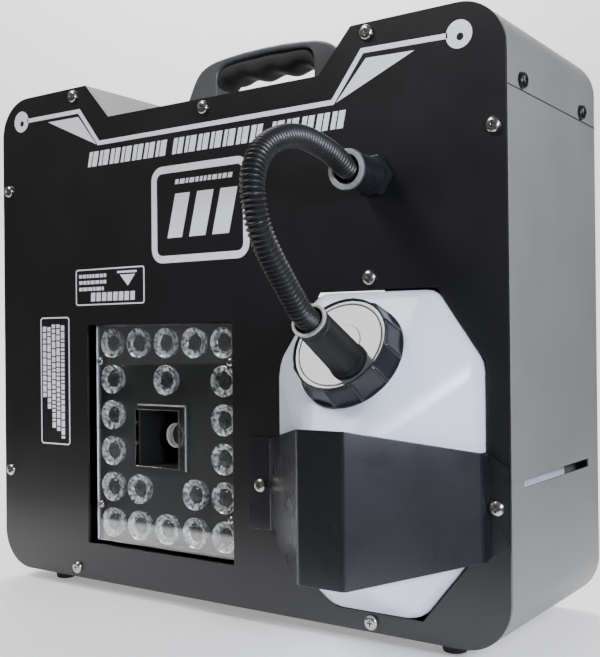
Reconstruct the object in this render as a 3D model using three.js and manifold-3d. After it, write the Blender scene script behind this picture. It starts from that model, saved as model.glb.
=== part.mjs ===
// Upright fog machine with an LED panel and a front-mounted fluid bottle.
// Millimetres, +Z up. The front plate faces -Y, and its lower edge is at z = 0 while the pieces are built;
// the last lines move the whole group so that its origin is the middle of its base.
import * as THREE from "three";
import { ConvexGeometry } from "three/addons/geometries/ConvexGeometry.js";
import { mergeVertices } from "three/addons/utils/BufferGeometryUtils.js";
import Module from "manifold-3d";

const wasm = await Module();
wasm.setup();

// ---------------------------------------------------------------- driving dimensions
const GAP = 0.3; // clearance between pieces that rest on each other
const PAST = 5; // how far a cutting tool runs past what it cuts

const BODY = {
  width: 385,
  height: 332,
  depth: 137,
  corner: 26,
  plate: 2, // front plate thickness
  sheet: 1.2, // shell thickness
  back: 1.5, // back plate thickness
  seamZ: 286.6, // where the top cover meets the lower shell
};
const NOTCH = { centreX: -2.5, topHalf: 104.7, floorHalf: 83.3, floorZ: 308 };
const WINDOW = { minX: -107.7, maxX: 17.1, minZ: 24.3, maxZ: 170.5 };
const LED = {
  centreX: -45.4,
  centreZ: 98,
  pitch: 24,
  radius: 10,
  frontY: 9.6,
  panelY: 14.2,
  panelT: 1.5,
  boardY: 16,
  boardT: 2,
  halfX: 59,
  halfZ: 70.5,
  // one string for each row from the top, one letter for each column: x is a lens
  rows: ["xxxxx", "x.x.x", "x...x", "x...x", "xx.xx", "xxxxx"],
};
const GLASS = { frontY: 5.5, thickness: 3, halfX: 59, halfZ: 72, holeHalf: 18.4, holeX: -50.2, holeZ: 96.4 };
const NOZZLE = {
  centreX: -50.2, // a little to the left of the window's middle, like the square duct round it
  centreZ: 97,
  tipY: 23.8,
  radius: 8.3,
  mouth: 7.4, // radius of the cup at the tip
  mouthDepth: 5,
  bore: 3,
  ductHalf: 21,
  ductWall: 1,
  ductFrontY: 11.7,
  ductBackY: 55,
};
const BOTTLE = {
  centreX: 116.8,
  half: 62.5, // half width
  topZ: 185,
  bottomZ: 12,
  topHalf: 36, // half width of the top edge
  bottomHalf: 26,
  upperZ: 147, // where the upper corner cut starts
  lowerZ: 57,
  frontY: -5,
  rearY: 119,
  noseY: -52,
  noseHalf: 13.5,
  noseTopZ: 104,
  noseBottomZ: 40,
  wall: 1.8,
};
const CUTOUT_CLEAR = 1.3; // plate cut-out round the bottle
const NECK = { baseZ: 150, radius: 24, bore: 21.5, height: 12.4 };
// Heights of the cap's pieces are along the neck from the facet it stands on.
const CAP = {
  foot: 1,
  footRadius: 30.2,
  height: 15.3,
  radius: 27.4, // at the top
  thread: 24.6,
  seatLow: 12.7,
  seat: 26.5,
  beadLow: 14.5,
  mouth: 25.9,
};
const DISC = { low: 13, high: 14.2, radius: 26.2 };
const ELBOW = {
  low: 14.5, // where its foot rests, along the neck
  footRadius: 10.2,
  footHigh: 17,
  radius: 8.4,
  rim: 9.1,
  rimLength: 3,
  rimHigh: 55.1, // the socket's rim, along the neck
  spigot: 7.6,
  spigotLow: -4,
  flow: 3,
  asideX: 8.5, // it stands off the middle of the disc, to the right of it
  down: 10.2, // and below it, along the disc
};
const HOSE = {
  radius: 6,
  seat: 12, // how far it goes into the elbow
  sides: 10,
  steps: 36,
  straight: 6, // how far it stays in line with the elbow in front of the rim
  // its middle line from the gland to the elbow
  route: [
    [116.8, -19, 247.3],
    [116.8, -25, 247.5],
    [116.8, -30.5, 248.7],
    [116.9, -37.6, 251.6],
    [117.1, -45.9, 254.1],
    [117.4, -54.6, 255.7],
    [117.9, -64.1, 256.8],
    [118.4, -73.4, 256.9],
    [119, -83.5, 255.5],
    [119.7, -92.7, 252.8],
    [120.3, -100.5, 249.5],
    [121, -107.2, 245.2],
    [121.8, -112.7, 239.5],
    [122.4, -116.2, 233],
    [123.1, -117.8, 226.9],
    [123.7, -117.5, 220.6],
    [124.2, -115.2, 210.4],
    [124.7, -108.9, 199.4],
    [125.1, -99.4, 188.2],
    [125.3, -91.2, 179.4],
  ],
};
const PICKUP = { low: 16, strainer: 6, minZ: 19, maxZ: 36, route: [[20, 90], [40, 40], [41, 32]] };
const GLAND = {
  z: 247.5,
  thread: 5.7,
  hexR: 10.6,
  hexY: -6,
  bodyR: 9.8,
  bodyY: -12,
  nutR: 10.9,
  nutY: -30,
  tailY: 13,
  seatR: 7.6,
  seatDepth: 12,
  seatRise: 0.8, // the hose leaves the nut a little upwards
  bore: 2,
};
const BRACKET = {
  sheet: 1.5,
  wing: 1.68, // a slanted wing's thickness along Y
  bend: 0.7, // how far a bend's outer and inner corners lie apart in X
  leftX: 46.5,
  rightX: 181,
  noseLeftX: 103.5,
  noseRightX: 130.5,
  noseY: -58,
  returnY: -8, // the right wing starts this far in front of the plate
  flangeLeftX: 29.5,
  flangeRightX: 192.2,
  rootLowZ: 48.6,
  rootHighZ: 102.2,
  noseLowZ: 36.5,
  noseHighZ: 114.6,
  tipLowZ: 53.4,
  tipHighZ: 94.2,
};
const SCREW = { head: 4.1, headH: 2.4, shank: 1.9, hole: 2.3, length: 7 };
const PLATE_SCREWS = [
  [-3.8, 302.2],
  [-119.1, 326.2],
  [-185.7, 267.5],
  [-185.7, 68],
  [-118, 6.6],
  [112.6, 326.4],
  [185.7, 266.4],
  [113, 192.8],
  [112.2, 5.4],
];
const BRACKET_SCREWS = [
  [39, 74.4],
  [186.3, 74.4],
];
const SLOT = { minY: 19, maxY: 120, minZ: 82.3, maxZ: 87 };
const HANDLE = {
  centreX: 0.5,
  minY: 56,
  depth: 26,
  baseHalf: 74,
  shoulderHalf: 55,
  shoulderDrop: 8,
  height: 44,
  gripHalf: 39.5,
  gripUnder: 27,
  gripCorner: 6,
};
const FOOT = {
  radius: 6.5, // on the floor
  topRadius: 7.5,
  height: 8,
  x: 152,
  frontY: 20,
  rearY: 117,
  backLowZ: 40,
  backHighZ: 280,
};
const VENT = { count: 8, halfX: 45, height: 3.2, pitch: 9, lowZ: 190 };
const HEATER = { minX: -75, maxX: -15, minY: 60, maxY: 120, minZ: 60, maxZ: 135, space: 6, jacket: 1 };
const PUMP = {
  x: -45,
  y: 90,
  lowZ: 165,
  highZ: 225,
  radius: 16,
  bore: 8,
  end: 7, // thickness of its ends
  fitting: 5,
  fittingH: 8,
  port: 2.2,
};
const PISTON = { radius: 7.6, lowZ: 176, highZ: 196 };
const SPRING = { radius: 5.8, wire: 0.7, lowZ: 197.1, highZ: 212.3, turns: 5 };
const TUBE = {
  radius: 3,
  sides: 8,
  lead: 14, // how far the suction tube runs straight back from the gland
  // its middle line across the case, as [x, y, z]
  crossing: [
    [96, 55, 252],
    [45, 82, 266],
    [-12, 90, 268],
    [-39, 90, 258],
  ],
  drop: 10, // its straight end above the pump
};
const PANEL = { y: 68, z: 155, halfY: 50, halfZ: 100, openY: 46, openZ: 95, sheet: 1.5 };
const DISPLAY = { z: 233, halfY: 29, halfZ: 13, bodyY: 25, bodyZ: 10, glassY: 23, glassZ: 8, inX: -184 };
const BUTTON = { z: 205, pitch: 18, radius: 4, hole: 4.4, flange: 5.2, outX: -194, inX: -186 };
const XLR = {
  z: 166,
  inY: 46,
  outY: 90,
  halfY: 13,
  halfZ: 15.5,
  barrel: 11,
  cavity: 8.6,
  depth: 14,
  length: 24,
};
const XLR_PIN = { radius: 1.4, circle: 4.2, depth: 6, drop: 2 };
const LATCH = { z: 177.8, halfY: 3.6, halfZ: 1.8, outX: -195, inX: -186 };
const SWITCH = {
  y: 50,
  z: 128,
  halfY: 8.5,
  halfZ: 11.5,
  bodyY: 6.6,
  bodyZ: 10,
  cavityY: 5,
  cavityZ: 8.8,
  inX: -175,
  floor: 3,
};
const ROCKER = {
  pivotX: -188.5,
  halfY: 4.6,
  rest: 8, // degrees from level in the off position
  // its side outline round the pivot: back corners, then the two raised ends and the dip between them
  side: [
    [2.5, -5],
    [2.5, 5],
    [-5.2, 7.2],
    [-3.6, 0],
    [-5.2, -7.2],
  ],
};
const FUSE = {
  y: 92,
  z: 128,
  flange: 8,
  barrel: 6.5,
  bore: 5.2,
  plug: 4.8,
  plugShort: 5,
  knob: 7,
  knobOutX: -197,
  coinHalf: 0.7,
  coinReach: 5.25,
  inX: -166,
  floor: 3,
};
const INLET = {
  y: 68,
  z: 88,
  halfY: 25,
  halfZ: 14,
  bodyY: 14,
  bodyZ: 10.5,
  cavityY: 12,
  cavityZ: 8.5,
  depth: 15,
  inX: -168,
};
// Boards and the parts on them, as [min x, max x, min y, max y, min z, max z].
const CONTROL_BOARD = { plate: [-182, -180.4, 30, 106, 192, 250], chip: [-180.6, -177, 55, 75, 215, 235] };
const POWER_BOARD = {
  plate: [-150, -148.4, 25, 115, 40, 170],
  transformer: [-148.6, -122, 35, 70, 60, 95],
  relay: [-148.6, -132, 80, 108, 110, 126],
  capacitor: { radius: 9, lowZ: 110, highZ: 140, x: -139.5, y: 60 },
};
const BITE = 0.5; // how far joined solids run into each other
const FRAME_OUT_X = -193; // outer face of the sockets' flanges

const faceX = -BODY.width / 2 + BODY.sheet + GAP; // outer face of the control panel
const seatX = faceX - GAP; // where the sockets' flanges rest
const panelBackX = faceX + PANEL.sheet;

// ---------------------------------------------------------------- materials
function paint(color, roughness, metalness = 0) {
  return new THREE.MeshStandardMaterial({ color, roughness, metalness });
}
const MATERIAL = {
  plateBlack: paint(0x1d1d20, 0.45, 0.3),
  shellGrey: paint(0x8c8c8a, 0.5, 0.3),
  nickel: paint(0xc9c6bd, 0.25, 1),
  rubber: paint(0x121212, 0.85),
  mouldedBlack: paint(0x1a1b1d, 0.5),
  bottleWhite: paint(0xdfe3ea, 0.4),
  capBlack: paint(0x2c2e31, 0.45),
  discWhite: paint(0xc9cac9, 0.5),
  hoseBlack: paint(0x191a1c, 0.5),
  clear: paint(0xb9c2c6, 0.08),
  lens: paint(0xd5d7d8, 0.15, 0.5),
  board: paint(0x2f3532, 0.6),
  steel: paint(0xa7a9ab, 0.35, 1),
  aluminium: paint(0xb5b8ba, 0.4, 1),
  brass: paint(0xb89a5b, 0.35, 1),
  tubeClear: paint(0xd9d4c4, 0.4),
  screen: paint(0x24425c, 0.2),
};

// ---------------------------------------------------------------- helpers
const UP = new THREE.Vector3(0, 1, 0);
const vec = (x, y, z) => new THREE.Vector3(x, y, z);

// A closed geometry as a solid that can be joined and cut.
function solid(geometry) {
  const bare = geometry.clone();
  bare.deleteAttribute("normal");
  bare.deleteAttribute("uv");
  const merged = mergeVertices(bare, 1e-4);
  return new wasm.Manifold(
    new wasm.Mesh({
      numProp: 3,
      vertProperties: new Float32Array(merged.attributes.position.array),
      triVerts: new Uint32Array(merged.index.array),
    }),
  );
}

function geometryOf(shape) {
  const mesh = shape.getMesh();
  const geometry = new THREE.BufferGeometry();
  geometry.setAttribute("position", new THREE.BufferAttribute(mesh.vertProperties, 3));
  geometry.setIndex(new THREE.BufferAttribute(mesh.triVerts, 1));
  return geometry;
}

// Joins the first list and cuts the second list from it.
function cut(adds, removes = []) {
  let result = solid(adds[0]);
  for (const piece of adds.slice(1)) result = result.add(solid(piece));
  for (const piece of removes) result = result.subtract(solid(piece));
  return geometryOf(result);
}

function intersect(first, second) {
  return geometryOf(solid(first).intersect(solid(second)));
}

function box(minX, maxX, minY, maxY, minZ, maxZ) {
  const geometry = new THREE.BoxGeometry(maxX - minX, maxY - minY, maxZ - minZ);
  return geometry.translate((minX + maxX) / 2, (minY + maxY) / 2, (minZ + maxZ) / 2);
}

// A box in the control panel's terms: from outX to inX, and half sizes round (y, z).
function panelBox(outX, inX, y, z, halfY, halfZ) {
  return box(outX, inX, y - halfY, y + halfY, z - halfZ, z + halfZ);
}

function aim(geometry, start, direction) {
  geometry.applyQuaternion(new THREE.Quaternion().setFromUnitVectors(UP, direction.clone().normalize()));
  return geometry.translate(start.x, start.y, start.z);
}

// A round bar that starts at a point and runs along a direction.
function bar(radius, length, start, direction, sides = 20) {
  const geometry = new THREE.CylinderGeometry(radius, radius, length, sides).translate(0, length / 2, 0);
  return aim(geometry, start, direction);
}

function barX(radius, minX, maxX, y, z, sides) {
  return bar(radius, maxX - minX, vec(minX, y, z), vec(1, 0, 0), sides);
}

function barY(radius, minY, maxY, x, z, sides) {
  return bar(radius, maxY - minY, vec(x, minY, z), vec(0, 1, 0), sides);
}

function barZ(radius, minZ, maxZ, x, y, sides) {
  return bar(radius, maxZ - minZ, vec(x, y, minZ), vec(0, 0, 1), sides);
}

// A turned piece from [radius, height] points, standing at a point along a direction.
function turned(profile, start, direction, sides = 20) {
  const points = profile.map(([radius, height]) => new THREE.Vector2(radius, height));
  return aim(new THREE.LatheGeometry(points, sides), start, direction);
}

// An outline in X and Z, made solid from minY back by depth.
function extrudeY(shape, minY, depth, curveSegments = 6) {
  const geometry = new THREE.ExtrudeGeometry(shape, { depth, bevelEnabled: false, curveSegments });
  return geometry.rotateX(Math.PI / 2).translate(0, minY + depth, 0);
}

function extrudeZ(shape, minZ, depth) {
  const geometry = new THREE.ExtrudeGeometry(shape, { depth, bevelEnabled: false });
  return geometry.translate(0, 0, minZ);
}

// A round tube along a smooth curve through points.
function tube(points, radius, sides, steps) {
  const section = new THREE.Shape();
  for (let i = 0; i < sides; i++) {
    const angle = (2 * Math.PI * i) / sides;
    const [x, y] = [radius * Math.cos(angle), radius * Math.sin(angle)];
    if (i === 0) section.moveTo(x, y);
    else section.lineTo(x, y);
  }
  const route = points.map(([x, y, z]) => vec(x, y, z));
  const extrudePath = new THREE.CatmullRomCurve3(route, false, "centripetal");
  return new THREE.ExtrudeGeometry(section, { steps, extrudePath, bevelEnabled: false });
}

function polygon(points) {
  return new THREE.Shape(points.map(([x, y]) => new THREE.Vector2(x, y)));
}

const assembly = new THREE.Group();

function add(name, geometry, material) {
  const mesh = new THREE.Mesh(geometry, MATERIAL[material]);
  mesh.name = name;
  assembly.add(mesh);
}

// ---------------------------------------------------------------- outlines
// How far a slope of the notch moves in X when the outline shrinks by inset.
function slopeShift(inset) {
  const run = NOTCH.topHalf - NOTCH.floorHalf;
  const rise = BODY.height - NOTCH.floorZ;
  const length = Math.hypot(run, rise);
  return (inset * (rise - (length - run) * (run / rise))) / length;
}

// The body's outline in X and Z, with round corners and the notch, shrunk by inset.
function bodyOutline(inset) {
  const half = BODY.width / 2 - inset;
  const top = BODY.height - inset;
  const radius = BODY.corner - inset;
  const low = inset + radius;
  const high = top - radius;
  const shift = slopeShift(inset);
  const shape = new THREE.Shape();
  shape.moveTo(-half + radius, inset);
  shape.lineTo(half - radius, inset);
  shape.absarc(half - radius, low, radius, -Math.PI / 2, 0, false);
  shape.lineTo(half, high);
  shape.absarc(half - radius, high, radius, 0, Math.PI / 2, false);
  shape.lineTo(NOTCH.centreX + NOTCH.topHalf + shift, top);
  shape.lineTo(NOTCH.centreX + NOTCH.floorHalf + shift, NOTCH.floorZ - inset);
  shape.lineTo(NOTCH.centreX - NOTCH.floorHalf - shift, NOTCH.floorZ - inset);
  shape.lineTo(NOTCH.centreX - NOTCH.topHalf - shift, top);
  shape.lineTo(-half + radius, top);
  shape.absarc(-half + radius, high, radius, Math.PI / 2, Math.PI, false);
  shape.lineTo(-half, low);
  shape.absarc(-half + radius, low, radius, Math.PI, 1.5 * Math.PI, false);
  return shape;
}

// The bottle's eight-sided outline in X and Z, grown by clear.
function bottleOutline(clear) {
  const x = BOTTLE.centreX;
  return [
    [x - BOTTLE.bottomHalf - clear / 2, BOTTLE.bottomZ - clear],
    [x + BOTTLE.bottomHalf + clear / 2, BOTTLE.bottomZ - clear],
    [x + BOTTLE.half + clear, BOTTLE.lowerZ - clear / 2],
    [x + BOTTLE.half + clear, BOTTLE.upperZ + clear / 2],
    [x + BOTTLE.topHalf + clear / 2, BOTTLE.topZ + clear],
    [x - BOTTLE.topHalf - clear / 2, BOTTLE.topZ + clear],
    [x - BOTTLE.half - clear, BOTTLE.upperZ + clear / 2],
    [x - BOTTLE.half - clear, BOTTLE.lowerZ - clear / 2],
  ];
}

function roundHole(x, z, radius) {
  const path = new THREE.Path();
  path.absarc(x, z, radius, 0, 2 * Math.PI, true);
  return path;
}

function rectHole(minX, maxX, minZ, maxZ) {
  const corners = [[minX, minZ], [maxX, minZ], [maxX, maxZ], [minX, maxZ]];
  return new THREE.Path(corners.map(([x, z]) => new THREE.Vector2(x, z)));
}

// ---------------------------------------------------------------- casing
function frontPlate() {
  const shape = bodyOutline(0);
  shape.holes.push(rectHole(WINDOW.minX, WINDOW.maxX, WINDOW.minZ, WINDOW.maxZ));
  const opening = bottleOutline(CUTOUT_CLEAR).map(([x, z]) => new THREE.Vector2(x, z));
  shape.holes.push(new THREE.Path(opening));
  shape.holes.push(roundHole(BOTTLE.centreX, GLAND.z, GLAND.thread + GAP));
  for (const [x, z] of [...PLATE_SCREWS, ...BRACKET_SCREWS]) shape.holes.push(roundHole(x, z, SCREW.hole));
  return extrudeY(shape, 0, BODY.plate);
}

// The sheet wrapped round the body, cut to the part between two heights.
function wrap(minZ, maxZ) {
  const minY = BODY.plate + GAP;
  const depth = BODY.depth - BODY.back - GAP - minY;
  const outer = extrudeY(bodyOutline(0), minY, depth);
  const inner = extrudeY(bodyOutline(BODY.sheet), minY - PAST, depth + 2 * PAST);
  const half = BODY.width / 2 + PAST;
  return intersect(cut([outer], [inner]), box(-half, half, 0, BODY.depth, minZ, maxZ));
}

function lowerShell() {
  const half = BODY.width / 2;
  const levelSlot = box(half - PAST, half + PAST, SLOT.minY, SLOT.maxY, SLOT.minZ, SLOT.maxZ);
  const panelOpening = panelBox(-half - PAST, panelBackX, PANEL.y, PANEL.z, PANEL.openY, PANEL.openZ);
  return cut([wrap(-PAST, BODY.seamZ)], [levelSlot, panelOpening]);
}

function backPlate() {
  const minY = BODY.depth - BODY.back;
  const slots = [];
  for (let i = 0; i < VENT.count; i++) {
    const z = VENT.lowZ + i * VENT.pitch;
    slots.push(box(-VENT.halfX, VENT.halfX, minY - PAST, BODY.depth + PAST, z, z + VENT.height));
  }
  return cut([extrudeY(bodyOutline(0), minY, BODY.back)], slots);
}

function carryHandle() {
  const { baseHalf, shoulderHalf, shoulderDrop, height, gripHalf, gripUnder, gripCorner } = HANDLE;
  const shoulder = height - shoulderDrop;
  const crown = height - 1.8;
  const crownHalf = gripHalf - 6;
  const shape = new THREE.Shape();
  shape.moveTo(-baseHalf, 0);
  shape.lineTo(-gripHalf, 0);
  shape.lineTo(-gripHalf, gripUnder - gripCorner);
  shape.quadraticCurveTo(-gripHalf, gripUnder, gripCorner - gripHalf, gripUnder);
  shape.lineTo(gripHalf - gripCorner, gripUnder);
  shape.quadraticCurveTo(gripHalf, gripUnder, gripHalf, gripUnder - gripCorner);
  shape.lineTo(gripHalf, 0);
  shape.lineTo(baseHalf, 0);
  shape.lineTo(shoulderHalf, shoulder);
  shape.quadraticCurveTo(shoulderHalf - 4, height - 4, crownHalf, crown);
  shape.quadraticCurveTo(0, height + 1, -crownHalf, crown);
  shape.quadraticCurveTo(4 - shoulderHalf, height - 4, -shoulderHalf, shoulder);
  const arch = extrudeY(shape, HANDLE.minY, HANDLE.depth, 4);
  return arch.translate(HANDLE.centreX, 0, NOTCH.floorZ + GAP);
}

function foot(start, direction) {
  const profile = [[0, 0], [FOOT.topRadius, 0], [FOOT.radius, FOOT.height], [0, FOOT.height]];
  return turned(profile, start, direction, 16);
}

function screw(x, z, seatY) {
  const { head, headH, shank, length } = SCREW;
  const crown = head * 0.75;
  const shaft = [[0, -length], [shank, -length], [shank, GAP]];
  const profile = [...shaft, [head, GAP], [head, 1], [crown, headH], [0, headH]];
  return turned(profile, vec(x, seatY, z), vec(0, -1, 0), 10);
}

function addCasing() {
  add("front_plate", frontPlate(), "plateBlack");
  add("lower_shell", lowerShell(), "shellGrey");
  add("top_cover", wrap(BODY.seamZ + GAP, BODY.height + PAST), "shellGrey");
  add("back_plate", backPlate(), "shellGrey");
  add("carry_handle", carryHandle(), "mouldedBlack");
  let number = 0;
  for (const y of [FOOT.frontY, FOOT.rearY])
    for (const x of [-FOOT.x, FOOT.x])
      add(`base_foot_${++number}`, foot(vec(x, y, -GAP), vec(0, 0, -1)), "rubber");
  number = 0;
  for (const z of [FOOT.backLowZ, FOOT.backHighZ])
    for (const x of [-FOOT.x, FOOT.x])
      add(`back_foot_${++number}`, foot(vec(x, BODY.depth + GAP, z), vec(0, 1, 0)), "rubber");
  number = 0;
  for (const [x, z] of PLATE_SCREWS) add(`plate_screw_${++number}`, screw(x, z, 0), "nickel");
  for (const [x, z] of BRACKET_SCREWS)
    add(`plate_screw_${++number}`, screw(x, z, -BRACKET.sheet - GAP), "nickel");
}

// ---------------------------------------------------------------- LED panel and nozzle
function ledPlate(minY, thickness, halfX, halfZ, holeX, holeZ, holeHalf) {
  const { centreX: x, centreZ: z } = LED;
  const maxY = minY + thickness;
  const plate = box(x - halfX, x + halfX, minY, maxY, z - halfZ, z + halfZ);
  const holeMinX = holeX - holeHalf;
  const holeMinZ = holeZ - holeHalf;
  const hole = box(holeMinX, holeX + holeHalf, minY - PAST, maxY + PAST, holeMinZ, holeZ + holeHalf);
  return cut([plate], [hole]);
}

// A board behind the window, with a square hole that the duct passes through.
function ledBacking(minY, thickness) {
  return ledPlate(minY, thickness, LED.halfX, LED.halfZ, NOZZLE.centreX, NOZZLE.centreZ, NOZZLE.ductHalf + GAP);
}

function lensPanel() {
  const pieces = [ledBacking(LED.panelY, LED.panelT)];
  const rowMiddle = (LED.rows.length - 1) / 2;
  const columnMiddle = (LED.rows[0].length - 1) / 2;
  LED.rows.forEach((row, r) => {
    [...row].forEach((mark, c) => {
      if (mark !== "x") return;
      const x = LED.centreX + (c - columnMiddle) * LED.pitch;
      const z = LED.centreZ + (rowMiddle - r) * LED.pitch;
      pieces.push(barY(LED.radius, LED.frontY, LED.panelY + BITE, x, z, 14));
    });
  });
  return cut(pieces);
}

function nozzleDuct() {
  const { centreX: x, centreZ: z, ductHalf: half, ductWall, ductFrontY: minY, ductBackY } = NOZZLE;
  const inner = half - ductWall;
  const outerBox = box(x - half, x + half, minY, ductBackY, z - half, z + half);
  return cut([outerBox], [box(x - inner, x + inner, minY - PAST, ductBackY + PAST, z - inner, z + inner)]);
}

function nozzle() {
  const { centreX, centreZ, tipY, radius, mouth, mouthDepth, bore } = NOZZLE;
  const length = HEATER.minY - GAP - tipY;
  const outside = [[mouth, 0], [radius - 0.5, 0], [radius, 0.5], [radius, length]];
  const profile = [...outside, [bore, length], [bore, mouthDepth], [mouth, mouthDepth], [mouth, 0]];
  return turned(profile, vec(centreX, tipY, centreZ), vec(0, 1, 0), 24);
}

function heaterJacket() {
  const { minX, maxX, minY, maxY, minZ, maxZ, space, jacket } = HEATER;
  const grow = space - jacket;
  const outer = box(minX - space, maxX + space, minY - grow, maxY + space, minZ - space, maxZ + space);
  const inner = box(minX - grow, maxX + grow, minY - GAP * 2, maxY + grow, minZ - grow, maxZ + grow);
  const nozzleHole = barY(NOZZLE.radius + 1, 0, minY, NOZZLE.centreX, NOZZLE.centreZ);
  const tubeHole = barZ(TUBE.radius + 1, maxZ, maxZ + space + PAST, PUMP.x, PUMP.y, 12);
  return cut([outer], [inner, nozzleHole, tubeHole]);
}

function heaterBlock() {
  const { minX, maxX, minY, maxY, minZ, maxZ } = HEATER;
  return box(minX, maxX, minY, maxY, minZ, maxZ);
}

function addLedPanel() {
  const { frontY, thickness, halfX, halfZ, holeHalf, holeX, holeZ } = GLASS;
  add("window_sheet", ledPlate(frontY, thickness, halfX, halfZ, holeX, holeZ, holeHalf), "clear");
  add("lens_panel", lensPanel(), "lens");
  add("led_board", ledBacking(LED.boardY, LED.boardT), "board");
  add("nozzle_duct", nozzleDuct(), "steel");
  add("nozzle", nozzle(), "brass");
  add("heater_block", heaterBlock(), "aluminium");
  add("heater_jacket", heaterJacket(), "steel");
}

// ---------------------------------------------------------------- pump and tubes
function pumpBody() {
  const { x, y, lowZ, highZ, radius, bore, end, fitting, fittingH, port } = PUMP;
  const can = barZ(radius, lowZ, highZ, x, y, 24);
  const stub = barZ(fitting, lowZ - fittingH, highZ + fittingH, x, y, 16);
  const chamber = barZ(bore, lowZ + end, highZ - end, x, y, 20);
  const passage = barZ(port, lowZ - fittingH - PAST, highZ + fittingH + PAST, x, y, 10);
  return cut([can, stub], [chamber, passage]);
}

function pumpPiston() {
  return barZ(PISTON.radius, PISTON.lowZ, PISTON.highZ, PUMP.x, PUMP.y, 20);
}

function pumpSpring() {
  const { radius, lowZ, highZ, turns } = SPRING;
  const points = [];
  const stepsPerTurn = 8;
  const steps = turns * stepsPerTurn;
  for (let i = 0; i <= steps; i++) {
    const angle = (2 * Math.PI * i) / stepsPerTurn;
    const z = lowZ + ((highZ - lowZ) * i) / steps;
    points.push([PUMP.x + radius * Math.cos(angle), PUMP.y + radius * Math.sin(angle), z]);
  }
  return tube(points, SPRING.wire, 5, steps);
}

function addPump() {
  const topZ = PUMP.highZ + PUMP.fittingH + GAP;
  const outletZ = PUMP.lowZ - PUMP.fittingH - GAP;
  const inletY = GLAND.tailY + GAP;
  add("pump_body", pumpBody(), "steel");
  add("pump_piston", pumpPiston(), "steel");
  add("pump_spring", pumpSpring(), "steel");
  const suction = [
    [BOTTLE.centreX, inletY, GLAND.z],
    [BOTTLE.centreX, inletY + TUBE.lead, GLAND.z],
    ...TUBE.crossing,
    [PUMP.x, PUMP.y, topZ + TUBE.drop],
    [PUMP.x, PUMP.y, topZ],
  ];
  add("suction_tube", tube(suction, TUBE.radius, TUBE.sides, 30), "tubeClear");
  const pressure = [
    [PUMP.x, PUMP.y, outletZ],
    [PUMP.x, PUMP.y, HEATER.maxZ + GAP],
  ];
  add("pressure_tube", tube(pressure, TUBE.radius, TUBE.sides, 2), "steel");
}

// ---------------------------------------------------------------- bottle, cap and hose
// The facet that carries the neck leans back from the nose to the top edge.
const facetTilt = Math.atan2(BOTTLE.frontY - BOTTLE.noseY, BOTTLE.topZ - BOTTLE.noseTopZ);
const neckAxis = vec(0, -Math.cos(facetTilt), Math.sin(facetTilt));
const neckBase = vec(
  BOTTLE.centreX,
  BOTTLE.frontY - (BOTTLE.topZ - NECK.baseZ) * Math.tan(facetTilt),
  NECK.baseZ,
);
const alongNeck = (height) => neckBase.clone().addScaledVector(neckAxis, height);

// The bottle's block: an eight-sided back, and a front that rises to a narrow nose.
function bottleBlock(inset) {
  const points = [];
  for (const [x, z] of bottleOutline(-inset)) {
    points.push(vec(x, BOTTLE.frontY + inset, z));
    points.push(vec(x, BOTTLE.rearY - inset, z));
  }
  for (const x of [BOTTLE.centreX - BOTTLE.noseHalf, BOTTLE.centreX + BOTTLE.noseHalf])
    for (const z of [BOTTLE.noseBottomZ, BOTTLE.noseTopZ]) points.push(vec(x, BOTTLE.noseY + 1.2 * inset, z));
  return new ConvexGeometry(points);
}

function bottle() {
  const neck = bar(NECK.radius, NECK.height + PAST, alongNeck(-PAST), neckAxis, 28);
  const bore = bar(NECK.bore, NECK.height + 4 * PAST, alongNeck(-2 * PAST), neckAxis, 28);
  const shape = solid(bottleBlock(0)).add(solid(neck)).subtract(solid(bottleBlock(BOTTLE.wall)));
  return geometryOf(shape.subtract(solid(bore)));
}

function capRing() {
  const { foot, footRadius, height, radius, thread, seatLow, seat, beadLow, mouth } = CAP;
  const profile = [
    [thread, foot],
    [footRadius, foot],
    [footRadius, foot + 1],
    [radius, height - 0.7],
    [radius - 0.7, height],
    [mouth, height],
    [mouth, beadLow],
    [seat, beadLow],
    [seat, seatLow],
    [thread, seatLow],
    [thread, foot],
  ];
  return turned(profile, neckBase, neckAxis, 28);
}

// The elbow stands straight up from the disc, to one side of its middle.
const downDisc = vec(0, -neckAxis.z, neckAxis.y);
const atFoot = (height) => alongNeck(height).addScaledVector(downDisc, ELBOW.down).add(vec(ELBOW.asideX, 0, 0));
const fromRim = (distance) => atFoot(ELBOW.rimHigh - distance);

function capDisc() {
  const plate = bar(DISC.radius, DISC.high - DISC.low, alongNeck(DISC.low), neckAxis, 28);
  const hole = bar(ELBOW.spigot + GAP, DISC.high - DISC.low + 2 * PAST, atFoot(DISC.low - PAST), neckAxis);
  return cut([plate], [hole]);
}

function elbow() {
  const { low, footRadius, footHigh, radius, rimHigh, rimLength, spigotLow, flow } = ELBOW;
  const stub = bar(radius, rimHigh - low, atFoot(low), neckAxis, 24);
  const rim = bar(ELBOW.rim, rimLength, fromRim(rimLength), neckAxis, 24);
  const foot = bar(footRadius, footHigh - low, atFoot(low), neckAxis, 24);
  const spigot = bar(ELBOW.spigot, footHigh - spigotLow, atFoot(spigotLow), neckAxis);
  const socket = bar(HOSE.radius + GAP, HOSE.seat + PAST, fromRim(HOSE.seat), neckAxis, 20);
  const flowHole = bar(flow, rimHigh - spigotLow, atFoot(spigotLow - PAST), neckAxis, 10);
  return cut([stub, rim, foot, spigot], [socket, flowHole]);
}

function pickupTube() {
  const start = atFoot(ELBOW.spigotLow - GAP);
  const { x } = start;
  const points = [start.toArray(), atFoot(-PICKUP.low).toArray()];
  for (const [y, z] of PICKUP.route) points.push([x, y, z]);
  const bottomY = PICKUP.route.at(-1)[0];
  const strainer = barZ(PICKUP.strainer, PICKUP.minZ, PICKUP.maxZ, x, bottomY, 12);
  return cut([tube(points, TUBE.radius, TUBE.sides, 16), strainer]);
}

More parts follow.
